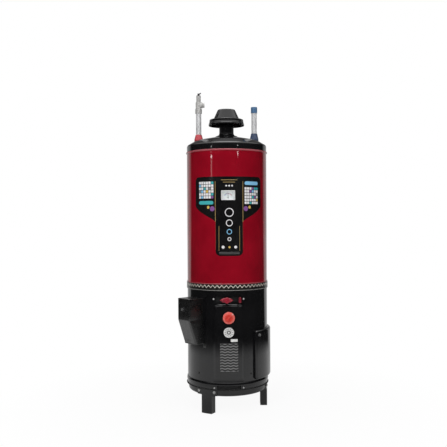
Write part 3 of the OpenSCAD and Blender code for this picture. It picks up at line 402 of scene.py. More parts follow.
def moulded(name, dark, light, rough=(0.25, 0.4), grain=700, coat=0.0):
    """Moulded plastic: colour drift, fine grain, uneven gloss."""
    f = Finish(name)
    f.set(Base_Color=f.cloudy(40, 3, dark, light), Coat_Weight=coat)
    f.gloss(90, 3, rough)
    f.grain(grain, 2, 0.12, 0.3 * MM)
    return f.material


def metal(name, dark, light, rough=(0.25, 0.45), scale=60, streak=(1, 1, 0.08)):
    """Bare or plated metal: streaks, cloudy patches, fine scratches."""
    f = Finish(name)
    stretched = f.node("Mapping", Vector=f.place, Scale=streak).outputs[0]
    scratch = f.noise(900, 2, 0.6, stretched)
    f.set(Base_Color=f.cloudy(scale, 4, dark, light, (0.3, 0.7), 0.6), Metallic=1.0)
    f.set(Roughness=f.ramp(scratch, 0.3, 0.7, *rough))
    f.bump(scratch, 0.08, 0.2 * MM)
    return f.material


def galvanised(name, dark, light, metallic=0.35):
    """Dulled zinc coat: crystal spangle and pale bloom."""
    f = Finish(name)
    spangle = f.node("TexVoronoi", Vector=f.place, Scale=260).outputs["Color"]
    crystal = f.node("SeparateColor", Color=spangle).outputs[0]
    bloom = f.ramp(f.noise(30, 4), 0.45, 0.7)
    colour = f.blend(bloom, f.blend(crystal, dark, light), tuple(1.04 * c for c in light))
    f.set(Base_Color=colour, Metallic=metallic, Specular_IOR_Level=0.2)
    f.set(Roughness=f.ramp(crystal, 0, 1, 0.28, 0.42))
    f.bump(crystal, 0.03, 0.2 * MM)
    return f.material


def blanket(name):
    """Insulating blanket: fibrous, uneven and matt."""
    f = Finish(name)
    fibre = f.noise(260, 6, 0.7)
    f.set(Base_Color=f.blend(fibre, (0.55, 0.46, 0.22), (0.85, 0.78, 0.5)), Roughness=0.95)
    f.bump(fibre, 0.5, 2 * MM)
    return f.material


def clear_lens(name):
    """Clear lens with faint smears."""
    f = Finish(name)
    f.set(Base_Color=(0.95, 0.98, 1), Transmission_Weight=1.0, IOR=1.2)
    f.gloss(60, 3, (0.0, 0.06), (0.4, 0.7))
    return f.material


FINISHES = {slot: make(slot, *values) for slot, make, *values in (
    ("black_enamel", enamel, (0.0035, 0.0035, 0.004), (0.0065, 0.0065, 0.007), (0.05, 0.13), 0.03),
    # Red enamel's last colour is the painted highlight on its beads.
    ("red_enamel", enamel, (0.2, 0.002, 0.009), (0.25, 0.003, 0.012), (0.03, 0.07), 0.012, 0.0,
     (0.32, 0.06, 0.075)),
    ("band_print", enamel, grey(0.01), grey(0.018), (0.15, 0.3), 0.05, 0.5),
    ("red_plastic", moulded, (0.5, 0.02, 0.015), (0.62, 0.035, 0.025), (0.18, 0.32), 700, 0.3),
    ("blue_plastic", moulded, (0.03, 0.1, 0.26), (0.05, 0.16, 0.36), (0.3, 0.45)),
    ("galvanised", galvanised, (0.76, 0.76, 0.77), (0.84, 0.84, 0.85), 0.48),
    ("zinc", metal, (0.5, 0.5, 0.52), (0.72, 0.71, 0.68)),
    ("valve_chrome", galvanised, grey(0.5), (0.7, 0.69, 0.68)),
    ("black_plastic", moulded, (0.012, 0.012, 0.013), (0.022, 0.022, 0.023), (0.3, 0.5)),
    ("grey_plastic", moulded, (0.42, 0.42, 0.41), (0.52, 0.52, 0.5)),
    ("gauge_frame", galvanised, grey(0.68), grey(0.78)),
    ("dial_card", moulded, (0.72, 0.72, 0.7), (0.8, 0.8, 0.77), (0.45, 0.6)),
    ("gauge_glass", clear_lens),
    ("tank_steel", metal, (0.1, 0.11, 0.12), (0.2, 0.21, 0.22), (0.4, 0.6)),
    ("foam", blanket),
    ("gas_brass", metal, (0.5, 0.34, 0.12), (0.62, 0.45, 0.18)),
    # Control casting near-black, darkened as painted shade for the recess behind the panel window.
    ("control_cast", moulded, (0.004, 0.004, 0.0045), grey(0.009), (0.5, 0.7), 300),
    ("burner_iron", metal, grey(0.05), (0.11, 0.09, 0.08), (0.6, 0.8), 120, (1, 1, 1)),
    ("ceramic", moulded, (0.78, 0.76, 0.7), (0.84, 0.82, 0.77), (0.1, 0.2)),
    ("lead_rubber", moulded, grey(0.02), grey(0.04), (0.5, 0.7)),
    ("dip_plastic", moulded, (0.72, 0.72, 0.66), (0.8, 0.8, 0.74), (0.4, 0.5)),
)}

# Solids with a shade of their own
SHADES = (
    ("hot_collar", (0.36, 0.035, 0.045), (0.5, 0.07, 0.085)),
    ("cold_collar", (0.022, 0.034, 0.07), (0.045, 0.064, 0.12)),
    ("inlet_cap", (0.04, 0.1, 0.2), (0.07, 0.15, 0.27)),
    ("relief_lever", grey(0.006), grey(0.015)),
    ("leg_bolts", grey(0.2), (0.34, 0.34, 0.33)),
    ("door_latch", grey(0.09), grey(0.14)),
    ("igniter_button", grey(0.06), grey(0.1)),
)

# Screws above the first height and below the second aren't painted
WINDOW_SCREWS = 0.45
RING_SCREWS = 0.15


def screw_finish():
    """Zinc screws at the window and in the base ring; those between are painted over."""
    f = Finish("case_screw")
    _, _, height = f.split(f.place)
    bare = f.most(f.ramp(height, WINDOW_SCREWS, WINDOW_SCREWS + 10 * MM),
                  f.ramp(height, RING_SCREWS - 10 * MM, RING_SCREWS, 0.5, 0.0))
    wear_and_sheen = f.cloudy(400, 3, grey(0.5), (0.75, 0.75, 0.74), (0.3, 0.7))
    f.set(Base_Color=f.blend(bare, grey(0.006), wear_and_sheen), Metallic=f.times(bare, 0.4))
    f.gloss(300, 2, (0.3, 0.5))
    f.grain(900, 2, 0.08, 0.2 * MM)
    return f.material


def valve_finish():
    """Dull plated valve; its two ears at the top are painted black with the lever."""
    f = Finish("relief_valve_plate")
    _, _, height = f.split(f.place)
    cloud = f.ramp(f.noise(90, 4, 0.6), 0.3, 0.7)
    painted = f.ramp(height, VALVE_EARS, VALVE_EARS + 0.5 * MM)
    plate = f.blend(cloud, (0.34, 0.34, 0.33), (0.5, 0.49, 0.48))
    f.set(Base_Color=f.blend(painted, plate, grey(0.008)), Metallic=f.ramp(painted, 0, 1, 0.12, 0))
    f.set(Roughness=f.ramp(cloud, 0, 1, 0.35, 0.5))
    f.grain(600, 2, 0.08, 0.3 * MM)
    return f.material


def dress_solids():
    """Every solid that stays in view gets the finish of its slot, and a few their own."""
    for name, solid in nodes.items():
        solid.data.materials.clear()
        solid.data.materials.append(FINISHES[SLOT_OF[name]])
    own = {"case_screws": screw_finish(), "relief_valve": valve_finish(),
           "thermometer_dial": dial_finish()}
    own.update({name: moulded(name + "_shade", *shades, (0.35, 0.55)) for name, *shades in SHADES})
    for name, finish in own.items():
        nodes[name].data.materials[0] = finish


# Red jacket and its print

def opening(lap):
    """Lower end, upper end and half angle of the hole behind the thermometer's frame."""
    half_h = GAUGE_HALF_H - lap
    return Z_GAUGE - half_h, Z_GAUGE + half_h, asin((GAUGE_HALF_W - lap) / JACKET_R)


def red_jacket():
    """Turned skin with a rolled bead at each end and a lap seam behind, open at the thermometer."""
    small, inside = 0.6 * BEAD, JACKET_R - SHEET
    seam_lift, seam_half = mm(0.9, 5)
    z0, z1, cut = opening(2 * MM)
    turn = np.linspace(-pi / 2, pi / 2, 9)
    foot = arc(JACKET_R, Z_UP + small, small, turn)
    head = arc(JACKET_R, Z_TOP - BEAD, BEAD, turn)
    wall = points(JACKET_R, stops(foot[-1, 1], (z0, 13), (z1, 3), (head[0, 1], 8))[1:-1])
    profile = np.concatenate([[[inside, Z_UP]], foot, wall, head, [[inside, Z_TOP]]])
    angle = stops(-cut, (cut, 12), (2 * pi - cut, 180))
    seam = seam_lift * np.exp(-(((angle - pi) * JACKET_R / seam_half) ** 4))
    upright = (np.abs(profile[:, 0] - JACKET_R) < 1e-9)[:, None]
    grid = polar(angle[None, :], profile[:, :1] + seam * upright, profile[:, 1:])
    hole = between(profile[:, 1:], z0, z1) & between(angle, -cut, cut) & upright[:-1]
    piece("red_jacket", [grid], replaces=("upper_jacket",), keep=~hole)


# Print on the jacket: half widths as angles, heights above the floor
PRINT_TURN = radians(1.5)
PRINT_WIDE = radians(52)
PRINT_COLUMN = radians(19)
PRINT_LOW = 0.758
PRINT_TAPER = (0.919, 0.998)
PRINT_HIGH = 1.136
PRINT_CORNER = 0.022
PRINT_PROUD = 0.25 * MM
PRINT_EDGE = 0.6 * MM

# Mosaic on the print: six by six tiles in two corners
TILE_PITCH = 0.0138
TILE_SPAN = 6 * TILE_PITCH
TILE_GAP = 0.0016
TILE_REACH = 0.158


def print_half(z):
    """Half width of the print as an angle: a column, an S-shaped spread, a wide head, round corners."""
    t = np.clip((z - PRINT_TAPER[0]) / (PRINT_TAPER[1] - PRINT_TAPER[0]), 0, 1)
    half = PRINT_COLUMN + (PRINT_WIDE - PRINT_COLUMN) * t ** 1.5 * (2.2 - 1.2 * t)
    for past in (z - (PRINT_HIGH - PRINT_CORNER), PRINT_LOW + PRINT_CORNER - z):
        past = np.clip(past, 0, PRINT_CORNER)
        half = half - (PRINT_CORNER - np.sqrt(PRINT_CORNER ** 2 - past ** 2)) / JACKET_R
    return half


def print_finish():
    """Black print with plain motifs: two mosaic fields, rounded bars, rings, dots and thin rules."""
    f = Finish("front_print")
    x, z, _ = f.flat()
    side = f.math("ABSOLUTE", x)

    def below(value, limit):
        """1 where the value is under the limit, with a soft edge."""
        return f.fade(value, limit - PRINT_EDGE, limit + PRINT_EDGE)

    def bar(cx, cz, half_w, half_h):
        """Rounded bar: the distance to its middle line is under its half height."""
        along = f.most(f.minus(f.gap(x, cx), half_w), 0.0)
        return below(f.length(along, f.minus(z, cz)), half_h)

    def ring(cx, cz, radius, thick, across=x):
        """Ring or dot: the distance to its circle is under half its thickness."""
        distance = f.length(f.minus(across, cx), f.minus(z, cz))
        return below(f.gap(distance, radius), thick / 2)

    def field(x0, x1, z0, z1, across=x):
        """1 inside a rectangle."""
        return f.times(below(f.gap(across, (x0 + x1) / 2), (x1 - x0) / 2),
                       below(f.gap(z, (z0 + z1) / 2), (z1 - z0) / 2))

    def tiles(x0, z0):
        """Mosaic from a corner: the share covered, and a fixed chance number for each tile."""
        column = f.math("DIVIDE", f.minus(x, x0), TILE_PITCH)
        row = f.math("DIVIDE", f.minus(z, z0), TILE_PITCH)
        off = f.most(f.gap(f.math("FRACT", column), 0.5), f.gap(f.math("FRACT", row), 0.5))
        inside = f.fade(off, 0.5 - TILE_GAP / TILE_PITCH, 0.5 - 0.5 * TILE_GAP / TILE_PITCH)
        cell = f.node("CombineXYZ", X=f.math("FLOOR", column), Y=f.math("FLOOR", row), Z=x0)
        chance = f.node("TexWhiteNoise", {"noise_dimensions": "3D"}, Vector=cell.outputs[0])
        return f.times(inside, field(x0, x0 + TILE_SPAN, z0, z0 + TILE_SPAN)), chance.outputs["Value"]

    colour = f.cloudy(9, 3, (0.004, 0.004, 0.0045), grey(0.008))
    white, teal, sky, gold = (0.7, 0.69, 0.7), (0.05, 0.36, 0.38), (0.2, 0.46, 0.68), (0.36, 0.25, 0.1)
    plum, amber, slate = (0.2, 0.08, 0.26), (0.6, 0.42, 0.1), grey(0.22)
    low, high = PRINT_TAPER[1] + 0.006, PRINT_HIGH - 0.022
    for x0, z0 in ((-TILE_REACH, high - TILE_SPAN), (TILE_REACH - TILE_SPAN, low)):
        cover, chance = tiles(x0, z0)
        paint = white
        for limit, shade in ((0.66, teal), (0.74, sky), (0.82, plum), (0.9, amber), (0.95, slate)):
            paint = f.blend(f.ramp(chance, limit, limit + 0.001), paint, shade)
        colour = f.blend(cover, colour, paint)
    for mask, paint in (
            (bar(-0.117, low + 0.008, 0.032, 0.0085), teal),
            (bar(0.117, high - 0.009, 0.032, 0.0085), sky),
            (field(0.0662, 0.0685, PRINT_LOW + 0.03, high, side), gold),
            (ring(0, 0.965, 0.019, 0.0036), white), (ring(0, 0.915, 0.0145, 0.0034), white),
            (ring(0, 0.873, 0.011, 0.0032), sky), (ring(0, 0.838, 0.0075, 0.003), white),
            (ring(0.03, 0.8, 0.0035, 0.007, side), white), (ring(0, 0.8, 0.0025, 0.005), amber),
            (bar(0, 1.12, 0.038, 0.0011), gold), (bar(0, 1.109, 0.028, 0.0011), gold),
            (ring(0, 1.092, 0.002, 0.004), white), (ring(0.014, 1.092, 0.002, 0.004, side), white),
            (ring(0.083, 0.983, 0.006, 0.012, side), plum),
            (ring(0.104, 0.99, 0.0035, 0.007, side), amber),
            (field(-0.05, 0.05, 0.7745, 0.7758), slate), (field(-0.05, 0.05, 0.7675, 0.7688), slate),
            (field(0.0491, 0.0509, PRINT_LOW + 0.024, 0.9, side), gold)):
        colour = f.blend(mask, colour, paint)
    f.set(Base_Color=colour)
    f.gloss(30, 4, (0.12, 0.26), (0.35, 0.7))
    f.grain()
    return f.material


def front_print():
    """Thin printed film on the jacket, open at the thermometer."""
    z0, z1, cut = opening(0.8 * MM)
    bend = np.linspace(0, pi / 2, 9)
    plain = stops(PRINT_LOW + PRINT_CORNER, (z0, 69), (z1, 4), (PRINT_HIGH - PRINT_CORNER, 15))
    z = np.concatenate([PRINT_LOW + PRINT_CORNER * (1 - np.cos(bend))[:-1], plain,
                        PRINT_HIGH - PRINT_CORNER * (1 - np.sin(bend))[1:]])
    left, right = (-cut - PRINT_TURN) / PRINT_WIDE, (cut - PRINT_TURN) / PRINT_WIDE
    u = stops(-1, (left, 43), (right, 10), (1, 43))
    turn = u[None, :] * print_half(z)[:, None]
    grid = polar(PRINT_TURN + turn, JACKET_R + PRINT_PROUD, z[:, None])
    flat = points(turn * JACKET_R, z[:, None])
    hole = between(z, z0, z1)[:, None] & between(u, left, right)
    piece("front_print", [grid], print_finish(), node="upper_jacket", keep=~hole, uv=flat)


# Printed band
BAND_TEETH = 58


def band_finish(height, around):
    """Black band with a pale zigzag in its upper half and a pale line along its lower edge."""
    f = Finish("band_zigzag")
    x, z, _ = f.flat()
    tooth, rise = around / BAND_TEETH, 0.38 * height
    wave = f.times(f.math("PINGPONG", x, tooth / 2), 2 * rise / tooth)
    zigzag = f.fade(f.gap(f.minus(z, 0.5 * height), wave), 1.4 * MM, 2.2 * MM)
    line = f.ramp(f.gap(z, 0.1 * height), 0.9 * MM, 1.4 * MM, 0.55, 0.0)
    wear_and_sheen = f.ramp(f.noise(160, 3), 0.3, 0.5, 0.5, 1.0)
    ground = f.cloudy(20, 3, grey(0.008), (0.02, 0.018, 0.015))
    marked = f.blend(f.times(zigzag, wear_and_sheen), ground, (0.74, 0.68, 0.6))
    f.set(Base_Color=f.blend(line, marked, (0.45, 0.44, 0.42)))
    f.gloss(60, 3, (0.18, 0.34))
    f.grain()
    return f.material


def zigzag_band():
    """Channel ring between the jackets; its map runs round the heater."""
    z0, z1 = heights("deco_band")
    out, deep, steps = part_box("deco_band")[1][0], JACKET_R - 12 * MM, 192
    profile = rounded([(deep, z0), (out, z0), (out, z1), (deep, z1)], 1.6 * MM)
    across = np.linspace(0, 2 * pi, steps + 1) * out
    flat = points(across[None, :], profile[:, 1:] - z0)
    piece("zigzag_band", [turned(profile, steps)], band_finish(z1 - z0, 2 * pi * out),
          replaces=("deco_band",), uv=flat)


# Top cover, neck and hood

def cone_top():
    """Cover: a slightly bowed skirt, a steep shoulder and a flat cone up to the crown."""
    z0, z1 = heights("top_cover")
    crown, hole, knee_in, skirt_h, cone_h, bow_h = mm(58, 38.5, 42, 31, 20.8, 20)
    bow = 1.35
    rolled = rounded([(JACKET_R, z0 + 1 * MM), (JACKET_R, z0 + skirt_h),
                      (JACKET_R - knee_in, z1 - cone_h), (crown, z1), (hole, z1), (hole, z1 - 2 * MM)],
                     mm(12, 45, 8, 0.5), 10)
    skirt = np.linspace(rolled[0], rolled[1], 13)[:-1]
    profile = np.concatenate([[(JACKET_R - 3 * MM, z0), (JACKET_R - 0.6 * MM, z0)], skirt, rolled[1:]])
    profile[:, 0] -= bow * np.clip(z0 + bow_h - profile[:, 1], 0, None) ** 2
    paint = enamel("cover_enamel", (0.004, 0.004, 0.0045), (0.007, 0.007, 0.0075), (0.03, 0.07), 0.012)
    piece("cone_top", [turned(profile, 192)], paint, replaces=("top_cover",))


def flared_neck():
    """Neck turned from a low foot through a quarter-circle flare to its open end."""
    z0, z1 = heights("flue_neck")
    r, flare, foot, rise = mm(36.5, 16, 58, 5)
    turn = np.linspace(1.5 * pi, pi, 15)
    curve = arc(r + flare, z0 + rise + flare, flare, turn)
    base = rounded([(foot, z0), (foot, z0 + SHEET), tuple(curve[0])], 0.5 * MM)
    end = [(r, z1), (r - SHEET, z1), (r - SHEET, z0)]
    profile = np.concatenate([base[:-1], curve, end])
    piece("flared_neck", [turned(profile, 96)], replaces=("flue_neck",))


def hat_hood():
    """Hat-shaped hood: rolled lip, steep band, flat shoulder, domed crown, bore for the flue pipe."""
    z0, z1 = heights("draft_hood")
    lip, band, base, top, throat = mm(90, 84.5, 66, 46, 41)
    shoulder, bore, lip_h = z0 + 30 * MM, z1 - 20 * MM, z0 + 7 * MM
    outer = rounded([(lip - 0.4 * MM, z0), (lip, z0 + 1 * MM), (lip - 0.2 * MM, lip_h),
                     (band + 2 * MM, z0 + 11.5 * MM), (band + 0.6 * MM, shoulder),
                     (base, shoulder + 0.5 * MM), (top + 1.5 * MM, z1 - 9 * MM), (top - 3 * MM, z1),
                     (throat, z1), (throat, bore)], mm(0.5, 2, 3, 4, 1.5, 14, 1.5, 0.8), 7)
    inner = rounded([(throat + SHEET, bore), (throat + SHEET, z1 - SHEET), (top - 3.6 * MM, z1 - SHEET),
                     (top + 0.2 * MM, z1 - 10 * MM), (base - SHEET, shoulder - SHEET),
                     (band - SHEET, shoulder - SHEET), (lip - SHEET, lip_h), (lip - SHEET, z0),
                     (lip - 0.4 * MM, z0)], mm(0.3, 0.2, 8, 4, 6, 6, 0.3))
    profile = np.concatenate([outer, inner])
    piece("hat_hood", [turned(profile, 128)], replaces=("draft_hood",))


# Front panel and its plain labels
PANEL_FACE_R = JACKET_R + 6.3 * MM
PANEL_SKIN = 0.3 * MM
PANEL_FOLDS = ((0, 0), (0, 0.7), (0.2, 1), (2.3, 3), (2.7, 3.2), (6, 3.3), (6.4, 3.5), (8.6, 5.7),
               (9, 5.9), (10.5, 6), (14, 6), (18, 6), (22, 6), (26, 6))
LABEL_PROUD = 0.2 * MM


def front_panel():
    """Pressed panel on the jacket: rolled outer edge, slanted border, second fold to the face."""
    z0, z1 = heights("front_panel")
    half_w, half_h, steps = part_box("front_panel")[1][0], (z1 - z0) / 2, 40
    path = [(inset * MM, PANEL_SKIN + lift * MM) for inset, lift in PANEL_FOLDS]
    flat, lift = pressed(half_w, half_h, mm(4, 4, 26, 26), path, 8, steps)
    border = path[-1][0]
    face = even_face(half_w - border, half_h - border, steps)
    grids = [polar(np.arcsin(part[..., 0] / JACKET_R), radius, (z0 + z1) / 2 + part[..., 1])
             for part, radius in ((flat, JACKET_R + lift), (face, PANEL_FACE_R))]
    piece("pressed_panel", grids, replaces=("front_panel",))


def label(name, x, z, half_w, half_h, corner, material):
    """Thin film on the panel's face: a flat outline bent round the tank."""
    least = min(half_w, half_h)
    path = [(inset, 0) for inset in np.append(np.arange(0, least, 3.5 * MM), least)]
    flat, _ = pressed(half_w, half_h, corner, path, 6, 20)
    grid = wrapped(flat, PANEL_FACE_R + LABEL_PROUD, x / JACKET_R, z)
    piece(name, [grid], material, node="front_panel", uv=flat)


def label_finish(name, ground, mark, pattern):
    """Matt film with a plain pattern: waves, a scale of ticks round a disc, or nothing."""
    f = Finish(name)
    x, z, _ = f.flat()
    base = f.cloudy(60, 3, tuple(0.9 * c for c in ground), ground, (0.3, 0.7))
    if pattern == "waves":
        wave = f.math("SINE", f.times(x, 2 * pi / (26 * MM)))
        away = f.math("PINGPONG", f.math("ADD", z, f.times(wave, 2 * MM)), 6.6 * MM)
        base = f.blend(f.fade(away, 2.2 * MM, 3.2 * MM), base, mark)
    if pattern == "scale":
        radius = f.length(x, z)
        turn = f.math("PINGPONG", f.math("ARCTAN2", x, z), radians(15))
        tick = f.times(f.fade(turn, 0.05, 0.09), f.fade(f.gap(radius, 16 * MM), 3.5 * MM, 4 * MM))
        ring = f.fade(f.gap(radius, 7 * MM), 2 * MM, 2.6 * MM)
        base = f.blend(f.most(tick, ring), base, mark)
    f.set(Base_Color=base)
    f.gloss(80, 3, (0.35, 0.5))
    f.grain(500, 2, 0.05, 0.3 * MM)
    return f.material


def panel_labels():
    """Three plain films on the panel: a round scale, a blank tag and a field of waves."""
    white, black, slate = (0.66, 0.66, 0.65), grey(0.006), grey(0.17)
    label("scale_disc", *mm(0, 394, 24, 24, 23.9), label_finish("scale_film", white, black, "scale"))
    label("blank_tag", *mm(24.5, 356, 16, 6.5, 1), label_finish("tag_film", white, black, ""))
    label("wave_field", *mm(1, 275, 42, 66, 2), label_finish("field_film", black, slate, "waves"))


# Knob, lever and buttons
KNOB_TURN = radians(-45)


def knob_finish(centre, radius):
    """Red plastic, paler towards the knob's rim: a painted highlight."""
    f = Finish("knob_plastic")
    x, _, z = f.split(f.place)
    away = f.length(f.minus(x, centre[0]), f.minus(z, centre[2]))
    # Paler towards the rim, in patches: painted highlight.
    wear_and_sheen = f.times(f.ramp(away, 0.55 * radius, 0.85 * radius),
                   f.ramp(f.noise(70, 3), 0.25, 0.6, 0.5, 1.0))
    red = f.cloudy(60, 3, (0.5, 0.026, 0.016), (0.6, 0.04, 0.024))
    f.set(Base_Color=f.blend(wear_and_sheen, red, (0.78, 0.17, 0.14)))
    f.gloss(90, 3, (0.25, 0.4))
    f.grain(700, 2, 0.1, 0.3 * MM)
    return f.material


def red_knob():
    """Turned knob with a raised rim, a dished face, a grip bar and a pointer block at the rim."""
    low, high, (x, _, z), (r, _, _) = box_of("control_knob")
    depth, centre = high[1] - low[1], (x, high[1], z)
    profile = rounded([(0, 0), (r, 0), (r, 0.3 * depth), (0.9 * r, 0.38 * depth),
                       (0.8 * r, 0.34 * depth), (0.74 * r, 0.66 * depth), (0.62 * r, 0.74 * depth),
                       (0, 0.68 * depth)], mm(0.8, 1.5, 1.5, 1.2, 2, 3))
    body = turned(profile, 96, centre, **FORWARD)
    path = [(0, 0.5 * depth), (0, 0.86 * depth)] + quarter(0.86 * depth, 2.2 * MM)
    path += [(0.1 * r, 0.98 * depth), (0.16 * r, depth)]
    grip = tilted(pressed(0.16 * r, 0.64 * r, 0.15 * r, path, 5, 10), centre, KNOB_TURN)
    piece("red_knob", [body, grip], knob_finish(centre, r), replaces=("control_knob",))
    half_w, half_h = mm(3, 4.5)
    path = [(0, 0.3 * depth), (0, 0.5 * depth), (0.8 * MM, 0.56 * depth), (half_w, 0.57 * depth)]
    flat, lift = pressed(half_w, half_h, 1 * MM, path, 3, 5)
    block = tilted((flat + np.array([0, 0.86 * r]), lift), centre, KNOB_TURN)
    pale = moulded("pointer_plastic", (0.62, 0.3, 0.27), (0.7, 0.38, 0.34))
    piece("knob_pointer", [block], pale, node="control_knob")


def winged_lever():
    """Two leaf-shaped wings of oval section with a ridge, a rounded hub and the spindle behind."""
    low, high, (x0, _, z0), (half_span, _, _) = box_of("gas_lever")
    hub_t, hub_r, stem_r, thick, wing_half_h = mm(15, 14, 4, 10, 10.5)
    wing_half_w, back = 0.66 * half_span, low[1] + hub_t
    along = np.linspace(-1, 1, 33)[:, None]
    turn = np.linspace(0, 2 * pi, 33)[None, :]
    full = np.minimum(1.15 * np.sqrt(1 - along ** 2), 1)
    wings = []
    for sign in (-1, 1):
        x = x0 + sign * (half_span - wing_half_w) + wing_half_w * along
        y = back - thick / 2 - thick / 2 * np.sin(turn) * full
        z = z0 - wing_half_h * (1 - along ** 2) * np.cos(turn)
        wings.append(points(x, y, z))
    hub = rounded([(0, 0), (hub_r, 0), (hub_r, hub_t), (0, hub_t)], mm(1, 4))
    drum = turned(hub, 64, (x0, back, z0), **FORWARD)
    stem = turned([(0, 0), (stem_r, 0), (stem_r, high[1] - back), (0, high[1] - back)], 32,
                  (x0, high[1], z0), **FORWARD)
    path = [(0, 0), (0, 6.4 * MM)] + quarter(6.4 * MM, 1.5 * MM)
    ridge = tilted(pressed(0.8 * half_span, 1.6 * MM, 1.5 * MM, path, 4, 12), (x0, back - 3.6 * MM, z0))
    crimson = moulded("crimson_plastic", (0.22, 0.006, 0.018), (0.3, 0.012, 0.03), (0.2, 0.35))
    piece("winged_lever", wings + [drum, stem, ridge], crimson, replaces=("gas_lever",))


def pilot_push():
    """Pilot button with rolled edges, and its stem."""
    low, high, (x, _, z), (half_w, _, half_h) = box_of("pilot_button")
    thick, roll, stem_r = mm(14, 2.5, 2)
    y = low[1] + thick
    path = [(half_w, 0), (0.5 * MM, 0), (0, 0.5 * MM), (0, thick - 3 * MM)]
    path += quarter(thick - roll, roll) + [(half_w, thick)]
    cap = tilted(pressed(half_w, half_h, 0.98 * half_w, path, 8, 10), (x, y, z))
    stem = turned([(0, 0), (stem_r, 0), (stem_r, high[1] - y)], 24, (x, high[1], z), **FORWARD)
    dark = moulded("dark_crimson", (0.14, 0.005, 0.014), (0.2, 0.008, 0.02), (0.25, 0.4))
    piece("pilot_push", [cap, stem], dark, replaces=("pilot_button",))


# Ignition box: the lower part of its face slants in
SPARK_AXIS = next(joint["axis"] for joint in frame["joints"] if joint["name"] == "spark_press")
BOX_TURN = atan2(-SPARK_AXIS[0], SPARK_AXIS[1])
BOX_REACH, BOX_HALF, BOX_CORNER, BOX_ROLL, BOX_SET_BACK = mm(283, 44, 8, 3, 42)
BOX_FOOT, BOX_TOP = heights("ignition_box")
BOX_LOW = BOX_FOOT + 16 * MM
BOX_BEND = BOX_TOP - 103 * MM
BOX_LOW_FACE = BOX_REACH - BOX_SET_BACK
BOX_SLOPE = BOX_SET_BACK / (BOX_BEND - BOX_LOW)


def box_place(x, out, z):
    """Places beside the box's middle plane, out from the tank's axis and up."""
    s, c = sin(BOX_TURN), cos(BOX_TURN)
    return points(x * c + out * s, x * s - out * c, z)


def face_at(z):
    """How far out the box's face stands at a height."""
    return BOX_LOW_FACE + BOX_SLOPE * (z - BOX_LOW) if z < BOX_BEND else BOX_REACH


def box_ring(inset, face, z):
    """Outline of the box at one height, from the jacket round the face and back."""
    half, reach, corner = BOX_HALF - inset, face - inset, max(BOX_CORNER - inset, 0)
    side = np.linspace(np.sqrt(JACKET_R ** 2 - half ** 2), reach - corner, 12)
    turn = np.linspace(0, pi / 2, 9)[1:]
    right = np.concatenate([points(half, side), arc(half - corner, reach - corner, corner, turn)])
    front = points(np.linspace(-1, 1, 15)[1:-1] * (half - corner), reach)
    flat = np.concatenate([right * np.array([-1, 1]), front, right[::-1]])
    return box_place(flat[:, 0], flat[:, 1], z)


def on_slant(x, up, lift):
    """Places on the box's slanted face: across it, up along it and out along its normal."""
    length = hypot(1, BOX_SLOPE)
    return box_place(x, BOX_LOW_FACE + (up * BOX_SLOPE + lift) / length,
                     BOX_LOW + (up - lift * BOX_SLOPE) / length)


def box_finish():
    """Black sheet-metal paint, a little more mirror-like than the jacket's."""
    f = Finish("box_paint")
    f.set(Base_Color=f.cloudy(25, 4, (0.002, 0.002, 0.0022), grey(0.006), (0.35, 0.7), 0.6), IOR=1.75)
    f.gloss(40, 4, (0.22, 0.36), rough=0.6)
    f.grain()
    return f.material


def slab(a0, a1, r0, r1, z0, z1):
    """Curved plate with softened edges against the jacket."""
    edge, deep, half_w, half_h = 0.6 * MM, r1 - r0, (a1 - a0) / 2 * JACKET_R, (z1 - z0) / 2
    path = [(0, 0), (0, deep - edge)] + quarter(deep - edge, edge, 3) + [(min(half_w, half_h), deep)]
    flat, lift = pressed(half_w, half_h, 2 * MM, path, 3, 10)
    return wrapped(flat, r0 + lift, (a0 + a1) / 2, (z0 + z1) / 2)


def igniter_housing():
    """Sheet box: folded rim, slanted and upright face, rolled top; lugs; dark strips along the lower edge and in
    the slits that are painted shade.
    """
    inner = BOX_LOW + 60 * MM
    rings = [box_ring(1.5 * MM, face_at(inner), inner)]
    rings += [box_ring(inset * MM, BOX_LOW_FACE, BOX_LOW + lift * MM)
              for inset, lift in ((1.5, 0.4), (0.6, 0), (0, 0.6))]
    for z in stops(BOX_LOW + 2 * MM, (BOX_BEND - 3 * MM, 7), (BOX_BEND - 1 * MM, 1),
                   (BOX_BEND + 1 * MM, 1), (BOX_BEND + 3 * MM, 1), (BOX_TOP - BOX_ROLL, 5)):
        soft = 0.35 * MM * max(0, 1 - abs(z - BOX_BEND) / (3 * MM))
        rings.append(box_ring(soft, face_at(z), z))
    rings += [box_ring(inset, BOX_REACH, BOX_TOP - BOX_ROLL + lift)
              for inset, lift in quarter(0, BOX_ROLL, 6)[1:]]
    rings += [box_ring(inset * MM, BOX_REACH, BOX_TOP) for inset in (8, 15, 25, 34, 43.9)]
    lugs = []
    for sign in (-1, 1):
        ends = sorted(BOX_TURN + sign * asin(x / JACKET_R) for x in (BOX_HALF, BOX_HALF + 17 * MM))
        lugs.append(slab(*ends, JACKET_R + 0.1 * MM, JACKET_R + 2.2 * MM, BOX_FOOT, BOX_FOOT + 20 * MM))
    piece("igniter_housing", [np.array(rings)] + lugs, box_finish(), replaces=("ignition_box",))
    # Dark strip along the slanted face's lower edge: painted shade in the gap under the fold.
    edge_shade_strip = [box_ring(-0.3 * MM, face_at(z), z) for z in BOX_LOW + np.linspace(0.2 * MM, 4.6 * MM, 4)]
    piece("box_edge", [np.array(edge_shade_strip)], FINISHES["lead_rubber"], node="ignition_box")
    # Dark strips in the vent slits: painted shade inside them.
    half_w, proud = mm(1.6, 0.4)
    path = [(0, 0), (0.3 * MM, proud), (half_w, proud)]
    flat, lift = pressed(half_w, 8 * MM, 1.5 * MM, path, 4, 6)
    lean = flat[..., 0] + 0.35 * flat[..., 1]
    up = flat[..., 1] + 19 * MM
    slits = [on_slant(lean + x, up, lift - 0.1 * MM) for x in mm(-27, -16, -5, 6)]
    piece("box_slit_shades", slits, FINISHES["lead_rubber"], node="ignition_box")


# Base
SCREEN_HALF = radians(18.5)


